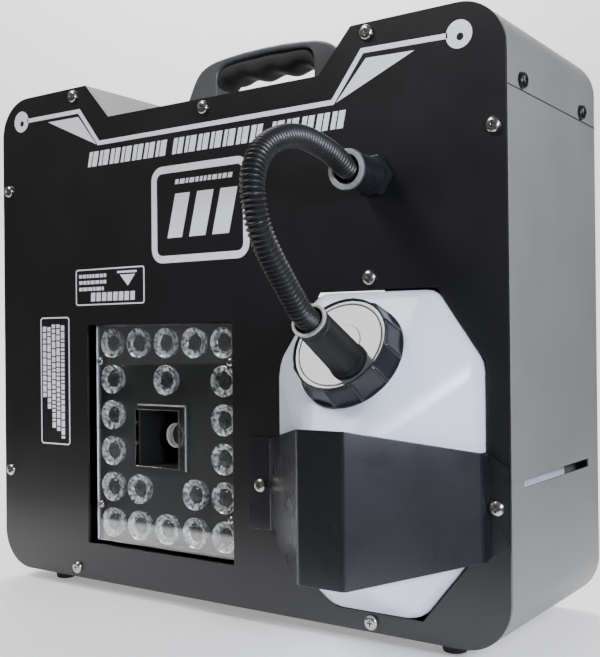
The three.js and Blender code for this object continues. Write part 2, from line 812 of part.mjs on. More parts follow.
function hose() {
  const seated = [-HOSE.straight, HOSE.straight / 2, HOSE.seat - GAP].map((distance) => fromRim(distance).toArray());
  return tube([...HOSE.route, ...seated], HOSE.radius, HOSE.sides, HOSE.steps);
}

function hoseGland() {
  const { z, thread, hexR, hexY, bodyR, bodyY, nutR, nutY, tailY, seatR, seatDepth, seatRise, bore } = GLAND;
  const x = BOTTLE.centreX;
  const hex = barY(hexR, hexY, -GAP, x, z, 6);
  const body = barY(bodyR, bodyY, hexY + BITE, x, z, 20);
  const nut = barY(nutR, nutY, bodyY + BITE, x, z, 24);
  const tail = barY(thread, -1, tailY, x, z, 16);
  const seat = barY(seatR, nutY - PAST, nutY + seatDepth, x, z + seatRise, 20);
  return cut([hex, body, nut, tail], [seat, barY(bore, nutY, tailY + PAST, x, z, 8)]);
}

// The bracket's strip in plan: two flanges on the plate, two wings and the nose.
function bracketPlan() {
  const { sheet, wing, bend, leftX, rightX, noseLeftX, noseRightX, noseY, returnY } = BRACKET;
  const { flangeLeftX, flangeRightX } = BRACKET;
  const outer = [
    [flangeLeftX, -GAP - sheet],
    [leftX - bend, -GAP - sheet],
    [noseLeftX, noseY],
    [noseRightX, noseY],
    [rightX + bend, returnY],
    [rightX + bend, -GAP - sheet],
    [flangeRightX, -GAP - sheet],
  ];
  const inner = [
    [flangeRightX, -GAP],
    [rightX + bend - sheet, -GAP],
    [rightX + bend - sheet, returnY + bend],
    [noseRightX - bend, noseY + wing],
    [noseLeftX + bend, noseY + wing],
    [leftX, -GAP],
    [flangeLeftX, -GAP],
  ];
  return polygon([...outer, ...inner]);
}

function bracket() {
  const { flangeLeftX, flangeRightX, leftX, rightX, noseLeftX, noseRightX } = BRACKET;
  const { rootLowZ, rootHighZ, noseLowZ, noseHighZ, tipLowZ, tipHighZ } = BRACKET;
  const strip = extrudeZ(bracketPlan(), noseLowZ - PAST, noseHighZ - noseLowZ + 2 * PAST);
  const front = polygon([
    [flangeLeftX - 1, rootLowZ],
    [leftX, rootLowZ],
    [noseLeftX, noseLowZ],
    [noseRightX, noseLowZ],
    [rightX, rootLowZ],
    [flangeRightX + 1, tipLowZ],
    [flangeRightX + 1, tipHighZ],
    [rightX, rootHighZ],
    [noseRightX, noseHighZ],
    [noseLeftX, noseHighZ],
    [leftX, rootHighZ],
    [flangeLeftX - 1, rootHighZ],
  ]);
  const trimmed = intersect(strip, extrudeY(front, BRACKET.noseY - PAST, PAST * 3 - BRACKET.noseY));
  const holes = BRACKET_SCREWS.map(([x, z]) => barY(SCREW.hole, -PAST, PAST, x, z, 12));
  return cut([trimmed], holes);
}

function addBottle() {
  add("bottle", bottle(), "bottleWhite");
  add("bottle_bracket", bracket(), "plateBlack");
  add("cap_ring", capRing(), "capBlack");
  add("cap_disc", capDisc(), "discWhite");
  add("cap_elbow", elbow(), "capBlack");
  add("pickup_tube", pickupTube(), "tubeClear");
  add("hose", hose(), "hoseBlack");
  add("hose_gland", hoseGland(), "capBlack");
}

// ---------------------------------------------------------------- control panel on the left side
function controlPanel() {
  const { y, z, halfY, halfZ } = PANEL;
  const outX = faceX - PAST;
  const inX = panelBackX + PAST;
  const holes = [
    panelBox(outX, inX, y, DISPLAY.z, DISPLAY.bodyY + GAP, DISPLAY.bodyZ + GAP),
    barX(XLR.barrel + GAP, outX, inX, XLR.inY, XLR.z),
    barX(XLR.barrel + GAP, outX, inX, XLR.outY, XLR.z),
    panelBox(outX, inX, XLR.outY, LATCH.z, LATCH.halfY + 2 * GAP, LATCH.halfZ + 2 * GAP),
    panelBox(outX, inX, SWITCH.y, SWITCH.z, SWITCH.bodyY + GAP, SWITCH.bodyZ + GAP),
    barX(FUSE.barrel + GAP, outX, inX, FUSE.y, FUSE.z),
    panelBox(outX, inX, INLET.y, INLET.z, INLET.bodyY + GAP, INLET.bodyZ + GAP),
  ];
  for (const place of buttonPlaces()) holes.push(barX(BUTTON.hole, outX, inX, place, BUTTON.z, 16));
  return cut([panelBox(faceX, panelBackX, y, z, halfY, halfZ)], holes);
}

function buttonPlaces() {
  return [-1.5, -0.5, 0.5, 1.5].map((step) => PANEL.y + step * BUTTON.pitch);
}

function button(y) {
  const stem = barX(BUTTON.radius, BUTTON.outX, BUTTON.inX, y, BUTTON.z, 16);
  const flange = barX(BUTTON.flange, panelBackX + 2 * GAP, panelBackX + 2 * GAP + 1, y, BUTTON.z, 16);
  return cut([stem, flange]);
}

function display() {
  const { z, halfY, halfZ, bodyY, bodyZ, glassY, glassZ, inX } = DISPLAY;
  const bezel = panelBox(FRAME_OUT_X, seatX, PANEL.y, z, halfY, halfZ);
  const body = panelBox(seatX - BITE, inX, PANEL.y, z, bodyY, bodyZ);
  const glass = panelBox(FRAME_OUT_X - PAST, FRAME_OUT_X + 1, PANEL.y, z, glassY, glassZ);
  return cut([bezel, body], [glass]);
}

function xlrShell(y, removes) {
  const flange = panelBox(FRAME_OUT_X, seatX, y, XLR.z, XLR.halfY, XLR.halfZ);
  const barrel = barX(XLR.barrel, seatX - BITE, seatX + XLR.length, y, XLR.z, 24);
  return cut([flange, barrel], removes);
}

function dmxInput() {
  const cavity = barX(XLR.cavity, FRAME_OUT_X - PAST, FRAME_OUT_X + XLR.depth, XLR.inY, XLR.z);
  return xlrShell(XLR.inY, [cavity]);
}

function dmxOutput() {
  const holes = [0, 1, 2].map((i) => {
    const angle = (i * 2 * Math.PI) / 3 - Math.PI / 2;
    const y = XLR.outY + XLR_PIN.circle * Math.cos(angle);
    const z = XLR.z - XLR_PIN.circle * Math.sin(angle) - XLR_PIN.drop;
    return barX(XLR_PIN.radius, FRAME_OUT_X - PAST, FRAME_OUT_X + XLR_PIN.depth, y, z, 8);
  });
  const [holeY, holeZ] = [LATCH.halfY + 2 * GAP, LATCH.halfZ + 2 * GAP];
  const latchHole = panelBox(FRAME_OUT_X - PAST, LATCH.inX + PAST, XLR.outY, LATCH.z, holeY, holeZ);
  return xlrShell(XLR.outY, [...holes, latchHole]);
}

function switchFrame() {
  const { y, z, halfY, halfZ, bodyY, bodyZ, cavityY, cavityZ, inX, floor } = SWITCH;
  const bezel = panelBox(FRAME_OUT_X, seatX, y, z, halfY, halfZ);
  const body = panelBox(seatX - BITE, inX, y, z, bodyY, bodyZ);
  const cavity = panelBox(FRAME_OUT_X - PAST, inX - floor, y, z, cavityY, cavityZ);
  return cut([bezel, body], [cavity]);
}

// The rocker's side outline round its pivot, tilted to its off position.
function rocker() {
  const { pivotX, halfY, rest, side } = ROCKER;
  const geometry = extrudeY(polygon(side), -halfY, 2 * halfY);
  geometry.rotateY(THREE.MathUtils.degToRad(rest));
  return geometry.translate(pivotX, SWITCH.y, SWITCH.z);
}

function fuseHolder() {
  const flange = barX(FUSE.flange, FRAME_OUT_X, seatX, FUSE.y, FUSE.z, 20);
  const barrel = barX(FUSE.barrel, seatX - BITE, FUSE.inX, FUSE.y, FUSE.z, 20);
  const bore = barX(FUSE.bore, FRAME_OUT_X - PAST, FUSE.inX - FUSE.floor, FUSE.y, FUSE.z, 20);
  return cut([flange, barrel], [bore]);
}

function fuseCap() {
  const { y, z, knob, knobOutX, plug, plugShort, coinHalf, coinReach, inX } = FUSE;
  const head = barX(knob, knobOutX, FRAME_OUT_X - GAP, y, z, 16);
  const stem = barX(plug, FRAME_OUT_X - 1, inX - plugShort, y, z, 16);
  return cut([head, stem], [panelBox(knobOutX - PAST, knobOutX + 1, y, z, coinReach, coinHalf)]);
}

function mainsInlet() {
  const { y, z, halfY, halfZ, bodyY, bodyZ, cavityY, cavityZ, depth, inX } = INLET;
  const flange = panelBox(FRAME_OUT_X, seatX, y, z, halfY, halfZ);
  const body = panelBox(seatX - BITE, inX, y, z, bodyY, bodyZ);
  const cavity = panelBox(FRAME_OUT_X - PAST, FRAME_OUT_X + depth, y, z, cavityY, cavityZ);
  return cut([flange, body], [cavity]);
}

function controlBoard() {
  return cut([box(...CONTROL_BOARD.plate), box(...CONTROL_BOARD.chip)]);
}

function powerBoard() {
  const { plate, transformer, relay, capacitor } = POWER_BOARD;
  const can = barZ(capacitor.radius, capacitor.lowZ, capacitor.highZ, capacitor.x, capacitor.y, 16);
  return cut([box(...plate), box(...transformer), can, box(...relay)]);
}

function addControls() {
  add("control_panel", controlPanel(), "plateBlack");
  add("display", display(), "screen");
  buttonPlaces().forEach((y, i) => add(`button_${i + 1}`, button(y), "mouldedBlack"));
  add("control_board", controlBoard(), "board");
  add("dmx_input", dmxInput(), "steel");
  add("dmx_output", dmxOutput(), "steel");
  const latch = panelBox(LATCH.outX, LATCH.inX, XLR.outY, LATCH.z, LATCH.halfY, LATCH.halfZ);
  add("dmx_latch", latch, "steel");
  add("switch_frame", switchFrame(), "mouldedBlack");
  add("power_rocker", rocker(), "mouldedBlack");
  add("fuse_holder", fuseHolder(), "mouldedBlack");
  add("fuse_cap", fuseCap(), "mouldedBlack");
  add("mains_inlet", mainsInlet(), "mouldedBlack");
  add("power_board", powerBoard(), "board");
}

addCasing();
addLedPanel();
addPump();
addBottle();
addControls();

// The origin is the middle of the whole object's base.
const bounds = new THREE.Box3().setFromObject(assembly);
const middle = bounds.getCenter(new THREE.Vector3());
assembly.position.set(-middle.x, -middle.y, -bounds.min.z);

export default assembly;
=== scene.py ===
"""The looks of an upright fog machine: black front plate with an LED panel, a white bottle under a bent
bracket, a corrugated hose, and grey sheet sides. Sizes are in millimetres in the plate's own terms: x from the
plate's middle, y from its front face (in front is negative), z from its lower edge."""
import math
import random

import bmesh
import bpy
from mathutils import Matrix, Vector


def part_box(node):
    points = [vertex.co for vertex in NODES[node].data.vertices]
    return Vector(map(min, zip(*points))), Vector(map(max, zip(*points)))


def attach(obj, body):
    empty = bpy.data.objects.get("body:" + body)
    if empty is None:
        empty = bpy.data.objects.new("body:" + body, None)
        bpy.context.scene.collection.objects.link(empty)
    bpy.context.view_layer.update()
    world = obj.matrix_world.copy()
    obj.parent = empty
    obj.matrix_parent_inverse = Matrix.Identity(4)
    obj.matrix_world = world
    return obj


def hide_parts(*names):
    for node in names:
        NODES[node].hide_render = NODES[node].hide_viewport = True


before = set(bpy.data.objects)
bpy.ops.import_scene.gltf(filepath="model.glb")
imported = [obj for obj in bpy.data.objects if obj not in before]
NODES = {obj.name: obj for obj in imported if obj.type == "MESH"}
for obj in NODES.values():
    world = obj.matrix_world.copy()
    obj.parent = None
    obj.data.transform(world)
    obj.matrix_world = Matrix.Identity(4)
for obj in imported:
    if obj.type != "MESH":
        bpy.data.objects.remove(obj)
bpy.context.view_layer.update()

MM = 0.001
plate_low, plate_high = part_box("front_plate")
ORIGIN = Vector(((plate_low.x + plate_high.x) / 2, plate_low.y, plate_low.z))
TO_ROW = Matrix.Translation(ORIGIN) @ Matrix.Scale(MM, 4)


def local(point):
    """A point of the row frame in the plate's millimetres."""
    return (Vector(point) - ORIGIN) / MM


def box_mm(node):
    """A CAD node's lowest and highest corners in the plate's millimetres."""
    low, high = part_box(node)
    return local(low), local(high)


def middle(node):
    low, high = box_mm(node)
    return (low + high) / 2


# ---- sizes that several pieces share
WIDTH = (plate_high.x - plate_low.x) / MM
HEIGHT = (plate_high.z - plate_low.z) / MM
DEPTH = box_mm("back_plate")[1].y
PLATE_T = 2.0
SEAM_Z = box_mm("lower_shell")[1].z
BOTTLE_X = middle("bottle").x
LED_X, LED_Z = middle("led_board").x, middle("led_board").z
BOTTLE_LOW, BOTTLE_HIGH = box_mm("bottle")
HOSE_RADIUS = 6.0
FORWARD = (0, -1, 0)
BACKWARD = (0, 1, 0)


# ---- camera
CAMERA_YAW = math.radians(35.142)
CAMERA_PITCH = math.radians(0.293)
CAMERA_ROLL = math.radians(-0.547)
CAMERA_PLACE = Vector((384.9, -461.5, 160))
CAMERA_LENS = 53.8
CAMERA_SHIFT = (0.0144, 0.0079)


def show(name, data):
    """A new object in the scene."""
    thing = bpy.data.objects.new(name, data)
    bpy.context.scene.collection.objects.link(thing)
    return thing


def add_camera():
    data = bpy.data.cameras.new("camera")
    data.lens = CAMERA_LENS
    data.sensor_width = 36
    data.shift_x, data.shift_y = CAMERA_SHIFT
    data.clip_start = 0.01
    camera = show("camera", data)
    upright = Matrix.Rotation(CAMERA_YAW, 4, "Z") @ Matrix.Rotation(math.pi / 2 + CAMERA_PITCH, 4, "X")
    camera.matrix_world = (
        Matrix.Translation(TO_ROW @ CAMERA_PLACE) @ upright @ Matrix.Rotation(CAMERA_ROLL, 4, "Z")
    )
    bpy.context.scene.camera = camera


# ---- materials
def new_material(name):
    material = bpy.data.materials.new(name)
    material.use_nodes = True
    tree = material.node_tree
    shader = tree.nodes["Principled BSDF"]
    return material, tree, shader


def link(tree, a, b):
    tree.links.new(a, b)


NOISE_ROUGHNESS = 0.55


def noise(tree, scale, detail, stretch=None):
    """A noise texture in object space, in metres, so that its grain has a real size."""
    coords = tree.nodes.new("ShaderNodeTexCoord")
    texture = tree.nodes.new("ShaderNodeTexNoise")
    texture.inputs["Scale"].default_value = scale
    texture.inputs["Detail"].default_value = detail
    texture.inputs["Roughness"].default_value = NOISE_ROUGHNESS
    if stretch:
        mapping = tree.nodes.new("ShaderNodeMapping")
        mapping.inputs["Scale"].default_value = stretch
        link(tree, coords.outputs["Object"], mapping.inputs["Vector"])
        link(tree, mapping.outputs["Vector"], texture.inputs["Vector"])
    else:
        link(tree, coords.outputs["Object"], texture.inputs["Vector"])
    return texture


def ramp(tree, source, low, high, start=0.35, end=0.65):
    node = tree.nodes.new("ShaderNodeValToRGB")
    node.color_ramp.elements[0].position = start
    node.color_ramp.elements[1].position = end
    node.color_ramp.elements[0].color = (*low, 1)
    node.color_ramp.elements[1].color = (*high, 1)
    link(tree, source, node.inputs["Fac"])
    return node


MAT = {}


def surface(
    key, name, base, rough, metallic=0.0, vary=0.12, rough_vary=0.06, patch=25.0, grain=900.0,
    bump=0.05, depth=0.0001, stretch=None, **sockets,
):
    """Makes MAT[key]: its colour and gloss drift in patches, and its grain has a real size in metres."""
    material, tree, shader = new_material(name)
    broad = noise(tree, patch, 4.0)
    fine = noise(tree, grain, 2.0, stretch=stretch)
    mixed = tree.nodes.new("ShaderNodeMix")
    mixed.data_type = "FLOAT"
    mixed.inputs["Factor"].default_value = 0.4
    link(tree, broad.outputs["Fac"], mixed.inputs["A"])
    link(tree, fine.outputs["Fac"], mixed.inputs["B"])
    low = [c * (1 - vary) for c in base]
    high = [min(1, c * (1 + vary)) for c in base]
    colour = ramp(tree, mixed.outputs["Result"], low, high)
    link(tree, colour.outputs["Color"], shader.inputs["Base Color"])
    gloss = tree.nodes.new("ShaderNodeMapRange")
    gloss.inputs["To Min"].default_value = max(0.02, rough - rough_vary)
    gloss.inputs["To Max"].default_value = min(1.0, rough + rough_vary)
    link(tree, broad.outputs["Fac"], gloss.inputs["Value"])
    link(tree, gloss.outputs["Result"], shader.inputs["Roughness"])
    if bump:
        relief = tree.nodes.new("ShaderNodeBump")
        relief.inputs["Strength"].default_value = bump
        relief.inputs["Distance"].default_value = depth
        link(tree, fine.outputs["Fac"], relief.inputs["Height"])
        link(tree, relief.outputs["Normal"], shader.inputs["Normal"])
    shader.inputs["Metallic"].default_value = metallic
    for socket, value in sockets.items():
        shader.inputs[socket.replace("_", " ")].default_value = value
    MAT[key] = material


def make_materials():
    surface(
        "plate", "powder_black", (0.0058, 0.0058, 0.0064), 0.33, grain=1300, bump=0.12, vary=0.25,
        Specular_IOR_Level=0.75,
    )
    surface(
        "bracket", "powder_black_speckled", (0.010, 0.010, 0.0115), 0.28, grain=520, bump=0.22, vary=0.25,
        Specular_IOR_Level=0.75, Specular_Tint=(0.92, 0.93, 1.0, 1),
    )
    surface("handle_shell", "handle_grey", (0.095, 0.097, 0.1), 0.34, grain=700, bump=0.3, vary=0.15)
    # Pale grey rims: a painted highlight on the duct's top and right front edges, the spout's lip and the gland
    # nut's lip.
    surface("painted_rim_highlight", "painted_rim_highlight", (0.30, 0.30, 0.29), 0.35, grain=500, bump=0.2, vary=0.3)
    surface("shell", "powder_grey", (0.175, 0.175, 0.168), 0.45, grain=1100, bump=0.15, vary=0.06)
    surface("white_print", "white_print", (0.97, 0.97, 0.98), 0.45, grain=2000, vary=0.03, bump=0.05)
    surface("nickel", "nickel", (0.50, 0.49, 0.46), 0.22, 1.0, grain=1500, vary=0.12, bump=0.1)
    surface("steel", "brushed_steel", (0.42, 0.42, 0.43), 0.3, 1.0, grain=400, stretch=(1, 12, 1), bump=0.2)
    surface("black_screw", "black_oxide", (0.012, 0.012, 0.014), 0.3, 0.3, grain=1500)
    surface("rubber", "rubber", (0.012, 0.012, 0.012), 0.72, grain=600, bump=0.4, vary=0.2)
    surface("moulded", "moulded_black", (0.012, 0.012, 0.014), 0.33, grain=800, bump=0.3, vary=0.2)
    surface("cap", "cap_black", (0.014, 0.015, 0.018), 0.3, grain=900, bump=0.2, vary=0.15)
    surface(
        "cap_dull", "spout_black", (0.005, 0.005, 0.0055), 0.5, grain=900, bump=0.2, vary=0.15,
        Specular_IOR_Level=0.35,
    )
    surface("hose", "hose_black", (0.012, 0.012, 0.012), 0.42, grain=700, bump=0.15, vary=0.2)
    surface(
        "bottle", "bottle_white", (0.75, 0.80, 0.90), 0.33, grain=350, bump=0.1, vary=0.02, patch=14,
        Subsurface_Weight=0.2, Subsurface_Scale=0.01,
    )
    surface("disc", "disc_white", (0.12, 0.12, 0.119), 0.08, grain=500, vary=0.05, rough_vary=0.02)
    surface(
        "clear", "clear_acrylic", (0.95, 0.965, 0.965), 0.03, grain=40, bump=0.0, vary=0.01, rough_vary=0.01,
        Transmission_Weight=1.0, IOR=1.49, Coat_Weight=1.0, Coat_Roughness=0.02, Coat_IOR=1.8,
    )
    # A pale sawn acrylic edge, used on one edge only as a painted highlight.
    surface("acrylic_edge_highlight", "sawn_edge_painted_highlight", (0.88, 0.90, 0.90), 0.4, grain=900, vary=0.08)
    surface(
        "chrome", "reflector", (0.97, 0.98, 0.96), 0.2, 0.6, grain=420, patch=420, vary=0.97, bump=0.5,
        depth=0.0004,
    )
    surface(
        "lens_core", "lens_core", (0.022, 0.023, 0.022), 0.12, grain=420, vary=0.95, bump=0.6,
        depth=0.0004,
    )
    surface("board", "solder_mask", (0.005, 0.0055, 0.005), 0.45, grain=500, vary=0.3)
    surface("aluminium", "aluminium", (0.55, 0.55, 0.55), 0.38, 1.0, grain=500, vary=0.1)
    surface("plated", "plated_brass", (0.74, 0.72, 0.66), 0.35, 0.6, grain=1400, vary=0.05)
    surface("tube", "milky_tube", (0.66, 0.64, 0.56), 0.3, grain=300, vary=0.06)
    surface("screen", "display_window", (0.010, 0.020, 0.035), 0.08, grain=80, bump=0.0, vary=0.2)
    surface("segments", "display_segments", (0.10, 0.30, 0.42), 0.3, grain=900, vary=0.1)
    surface("contact", "contact_metal", (0.72, 0.62, 0.38), 0.25, 1.0, grain=2000)
    # Near-black: the duct's own black walls, and painted shade in the side seams and deep in the nozzle's cup.
    surface("dark", "black_and_painted_shade", (0.004, 0.004, 0.004), 0.6, grain=300)


# ---- mesh helpers, in the plate's millimetres
def join(*parts):
    """One bmesh from several."""
    whole = bmesh.new()
    for part in parts:
        mesh = bpy.data.meshes.new("part")
        part.to_mesh(mesh)
        part.free()
        whole.from_mesh(mesh)
        bpy.data.meshes.remove(mesh)
    return whole


def outward(bm):
    """Turns every face outwards."""
    bmesh.ops.recalc_face_normals(bm, faces=bm.faces)
    return bm


def tint(bm, index):
    for face in bm.faces:
        face.material_index = index
    return bm


def soften(bm, width, segments=2, angle=28):
    """Rounds the edges that are sharper than the angle."""
    if width <= 0:
        return bm
    limit = math.radians(angle)
    edges = [e for e in bm.edges if len(e.link_faces) == 2 and e.calc_face_angle(0) > limit]
    bmesh.ops.bevel(
        bm, geom=edges, offset=width, offset_type="OFFSET", segments=segments, profile=0.5,
        affect="EDGES", clamp_overlap=True,
    )
    return bm


def block(low, high, width=0.3, segments=2):
    bm = bmesh.new()
    bmesh.ops.create_cube(bm, size=1)
    low, high = Vector(low), Vector(high)
    size = high - low
    for v in bm.verts:
        v.co = (low + high) / 2 + Vector((v.co.x * size.x, v.co.y * size.y, v.co.z * size.z))
    return soften(bm, width, segments)


def bridge(bm, a, b):
    """Faces between two closed rings of as many points."""
    count = len(a)
    for k in range(count):
        bm.faces.new((a[k], a[(k + 1) % count], b[(k + 1) % count], b[k]))


def loft(bm, rings):
    """Skins a row of rings and closes both ends."""
    for a, b in zip(rings, rings[1:]):
        bridge(bm, a, b)
    bm.faces.new(rings[0])
    bm.faces.new(rings[-1])
    return outward(bm)


def open_ends(bm):
    """Takes away the end caps of a turned piece, which are its only faces with more than four corners."""
    bmesh.ops.delete(bm, geom=[f for f in bm.faces if len(f.verts) > 4], context="FACES")
    return bm


def prism(outline, low, high, width=0.0, segments=2):
    """A closed outline of (x, z) points made solid from y = low to y = high."""
    bm = bmesh.new()
    near = [bm.verts.new((a, low, b)) for a, b in outline]
    far = [bm.verts.new((a, high, b)) for a, b in outline]
    bm.faces.new(near)
    bm.faces.new(list(reversed(far)))
    bridge(bm, far, near)
    return soften(outward(bm), width, segments)


def frame_of(axis):
    """Two directions square to an axis."""
    axis = Vector(axis).normalized()
    side = axis.cross(Vector((0, 0, 1)))
    if side.length < 1e-3:
        side = Vector((1, 0, 0))
    side.normalize()
    return axis, side, axis.cross(side).normalized()


def turned(profile, start, axis, sides=48, radius_at=None):
    """A turned piece from (radius, height) points. radius_at(radius, height, angle) may shape its outline."""
    axis, side, up = frame_of(axis)
    start = Vector(start)
    bm = bmesh.new()
    rings = []
    for radius, height in profile:
        centre = start + axis * height
        if radius < 1e-6:
            rings.append([bm.verts.new(centre)])
            continue
        ring = []
        for i in range(sides):
            angle = 2 * math.pi * i / sides
            r = radius_at(radius, height, angle) if radius_at else radius
            ring.append(bm.verts.new(centre + side * (r * math.cos(angle)) + up * (r * math.sin(angle))))
        rings.append(ring)
    closed = profile[0] == profile[-1]
    if closed:
        bmesh.ops.delete(bm, geom=rings.pop(), context="VERTS")
    pairs = list(zip(rings, rings[1:])) + ([(rings[-1], rings[0])] if closed else [])
    for a, b in pairs:
        for i in range(sides):
            j = (i + 1) % sides
            corners = [a[i % len(a)], a[j % len(a)], b[j % len(b)], b[i % len(b)]]
            unique = list(dict.fromkeys(corners))
            if len(unique) > 2:
                bm.faces.new(unique)
    if not closed:
        for ring in (rings[0], rings[-1]):
            if len(ring) > 1:
                bm.faces.new(ring)
    return outward(bm)


def smooth_path(points, step):
    """A Catmull-Rom curve through the points, resampled at an even step."""
    pts = [Vector(p) for p in points]
    pts = [2 * pts[0] - pts[1]] + pts + [2 * pts[-1] - pts[-2]]
    dense = []
    for i in range(1, len(pts) - 2):
        p0, p1, p2, p3 = pts[i - 1 : i + 3]
        for k in range(40):
            t = k / 40
            dense.append(
                0.5 * (2 * p1 + (p2 - p0) * t + (2 * p0 - 5 * p1 + 4 * p2 - p3) * t * t
                       + (3 * p1 - p0 - 3 * p2 + p3) * t ** 3)
            )
    dense.append(pts[-2])
    lengths = [0.0]
    for a, b in zip(dense, dense[1:]):
        lengths.append(lengths[-1] + (b - a).length)
    total = lengths[-1]
    count = max(2, round(total / step))
    result, k = [], 0
    for i in range(count + 1):
        target = total * i / count
        while k < len(lengths) - 2 and lengths[k + 1] < target:
            k += 1
        span = lengths[k + 1] - lengths[k] or 1
        result.append(dense[k].lerp(dense[k + 1], (target - lengths[k]) / span))
    return result, total


def tube(path, radius_at, sides):
    """A tube along a fine path. radius_at(distance) is its radius there."""
    bm = bmesh.new()
    rings = []
    distance = 0.0
    side = None
    for i, point in enumerate(path):
        ahead = path[min(i + 1, len(path) - 1)] - path[max(i - 1, 0)]
        axis = ahead.normalized()
        if side is None:
            _, side, _ = frame_of(axis)
        side = (side - axis * side.dot(axis)).normalized()
        up = axis.cross(side)
        if i:
            distance += (point - path[i - 1]).length
        r = radius_at(distance)
        ring = []
        for k in range(sides):
            angle = 2 * math.pi * k / sides
            ring.append(bm.verts.new(point + side * (r * math.cos(angle)) + up * (r * math.sin(angle))))
        rings.append(ring)
    return loft(bm, rings)


def put(name, bm, materials, body="root", replaces=(), smooth=32, weighted=True):
    """Turns a bmesh into a piece that rides on a body."""
    bmesh.ops.transform(bm, matrix=TO_ROW, verts=bm.verts)
    mesh = bpy.data.meshes.new(name)
    bm.to_mesh(mesh)
    bm.free()
    mesh.polygons.foreach_set("use_smooth", [True] * len(mesh.polygons))
    mesh.set_sharp_from_angle(angle=math.radians(smooth))
    for key in [materials] if isinstance(materials, str) else materials:
        mesh.materials.append(MAT[key])
    piece = show(name, mesh)
    if weighted:
        flat = piece.modifiers.new("weighted", "WEIGHTED_NORMAL")
        flat.keep_sharp = True
    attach(piece, body)
    if replaces:
        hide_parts(*([replaces] if isinstance(replaces, str) else replaces))
    return piece


def cad_copy(node):
    """A CAD node's own mesh, welded and with its flat faces whole, as a bmesh in the plate's millimetres."""
    bm = bmesh.new()
    bm.from_mesh(NODES[node].data)
    bmesh.ops.transform(bm, matrix=TO_ROW.inverted(), verts=bm.verts)
    bmesh.ops.remove_doubles(bm, verts=bm.verts, dist=0.002)
    bmesh.ops.dissolve_limit(bm, angle_limit=math.radians(0.5), verts=bm.verts, edges=bm.edges)
    return bm


def skin(node, material, width=0.3, segments=2, body="root", angle=28):
    """The CAD node's own shape with rounded edges."""
    return put(node + "_skin", soften(cad_copy(node), width, segments, angle), material, body, node)


# ---- fasteners
PAN_HEAD = 4.1  # radius of a plate screw's head
PAN_HEIGHT = 2.4  # of its CAD head


def cross_screw(seat, axis, head=PAN_HEAD, height=2.5):
    """A pan head with a deep cross recess, standing on its seat."""
    k = head / PAN_HEAD
    rise = [(4.1, 0), (4.1, 0.36), (3.9, 0.62), (3.2, 0.86), (2.5, 0.96), (2.2, 1.0)]
    recess = [(2.0, 0.97), (1.5, 0.55), (1.0, 0.3), (0.0, 0.2)]
    profile = [(0, 0)] + [(r * k, h * height) for r, h in rise + recess]

    def cross(radius, level, angle):
        if radius > 2.1 * k or radius == 0:
            return radius
        return radius * (0.3 + 0.7 * abs(math.cos(2 * angle)) ** 3)

    return turned(profile, seat, axis, 48, cross)


def add_plate_screws():
    for number in range(1, 12):
        node = f"plate_screw_{number}"
        centre = middle(node)
        seat = Vector((centre.x, box_mm(node)[0].y + PAN_HEIGHT, centre.z))
        shank = turned([(1.9, -7), (1.9, 0.1)], seat, FORWARD, 16)
        put(f"pan_screw_{number}", join(cross_screw(seat, FORWARD), shank), "nickel",
            replaces=node, smooth=40)


def add_side_screws():
    seam_screw_z = SEAM_Z + 5.2  # in the top cover, just above the seam
    heads = []
    for side in (-1, 1):
        for y in (20.4, 111):
            seat = Vector((side * WIDTH / 2, y, seam_screw_z))
            heads.append(cross_screw(seat, (side, 0, 0), head=4.4, height=3.0))
    put("side_screws", join(*heads), "black_screw", smooth=40)


# ---- printed marks, a thin layer on the plate's face
PRINT_BACK, PRINT_FRONT = -0.02, -0.14


def printed(outline):
    """A printed shape from its (x, z) outline."""
    return prism(outline, PRINT_FRONT, PRINT_BACK)


def flat_ring(outer, inner):
    """A printed shape between two outlines of as many (x, z) points."""
    bm = bmesh.new()
    front_out, front_in, back_out, back_in = [
        [bm.verts.new((x, y, z)) for x, z in outline]
        for y in (PRINT_FRONT, PRINT_BACK) for outline in (outer, inner)
    ]
    for a, b in ((front_out, front_in), (front_in, back_in), (back_in, back_out), (back_out, front_out)):
        bridge(bm, a, b)
    return outward(bm)


def eye(x, z):
    """A flat printed disc with a small hole a little off its middle."""
    def circle(cx, cz, radius, sides=40):
        angles = [2 * math.pi * k / sides for k in range(sides)]
        return [(cx + radius * math.cos(angle), cz + radius * math.sin(angle)) for angle in angles]

    return flat_ring(circle(x, z, 7.4), circle(x + 0.6, z - 1.4, 2.0))


def stripe(points, half):
    """A printed line of even width along points in x and z."""
    left, right = [], []
    pts = [Vector(p) for p in points]
    for i, p in enumerate(pts):
        before = (p - pts[i - 1]).normalized() if i else None
        after = (pts[i + 1] - p).normalized() if i < len(pts) - 1 else None
        first, second = before or after, after or before
        normal = Vector((-(first + second).y, (first + second).x)).normalized()
        reach = half / max(0.3, normal.dot(Vector((-first.y, first.x))))
        left.append(p + normal * reach)
        right.append(p - normal * reach)
    bm = bmesh.new()
    for a, b, c, d in zip(left, left[1:], right[1:], right):
        quad = [(q.x, q.y) for q in (a, b, c, d)]
        bm = join(bm, printed(quad))
    return bm


def frame_box(min_x, max_x, min_z, max_z, line, corner):
    """A printed outline box with round corners."""
    def rounded(inset):
        r = max(0.2, corner - inset)
        points = []
        for cx, cz, start in (
            (max_x - inset - r, max_z - inset - r, 0), (min_x + inset + r, max_z - inset - r, 90),
            (min_x + inset + r, min_z + inset + r, 180), (max_x - inset - r, min_z + inset + r, 270),
        ):
            for k in range(7):
                angle = math.radians(start + 15 * k)
                points.append((cx + r * math.cos(angle), cz + r * math.sin(angle)))
        return points

    return flat_ring(rounded(0), rounded(line))


def rule(min_x, max_x, z, height):
    """A printed bar that stands where a line of lettering was."""
    return block((min_x, PRINT_FRONT, z - height / 2), (max_x, PRINT_BACK, z + height / 2), 0)


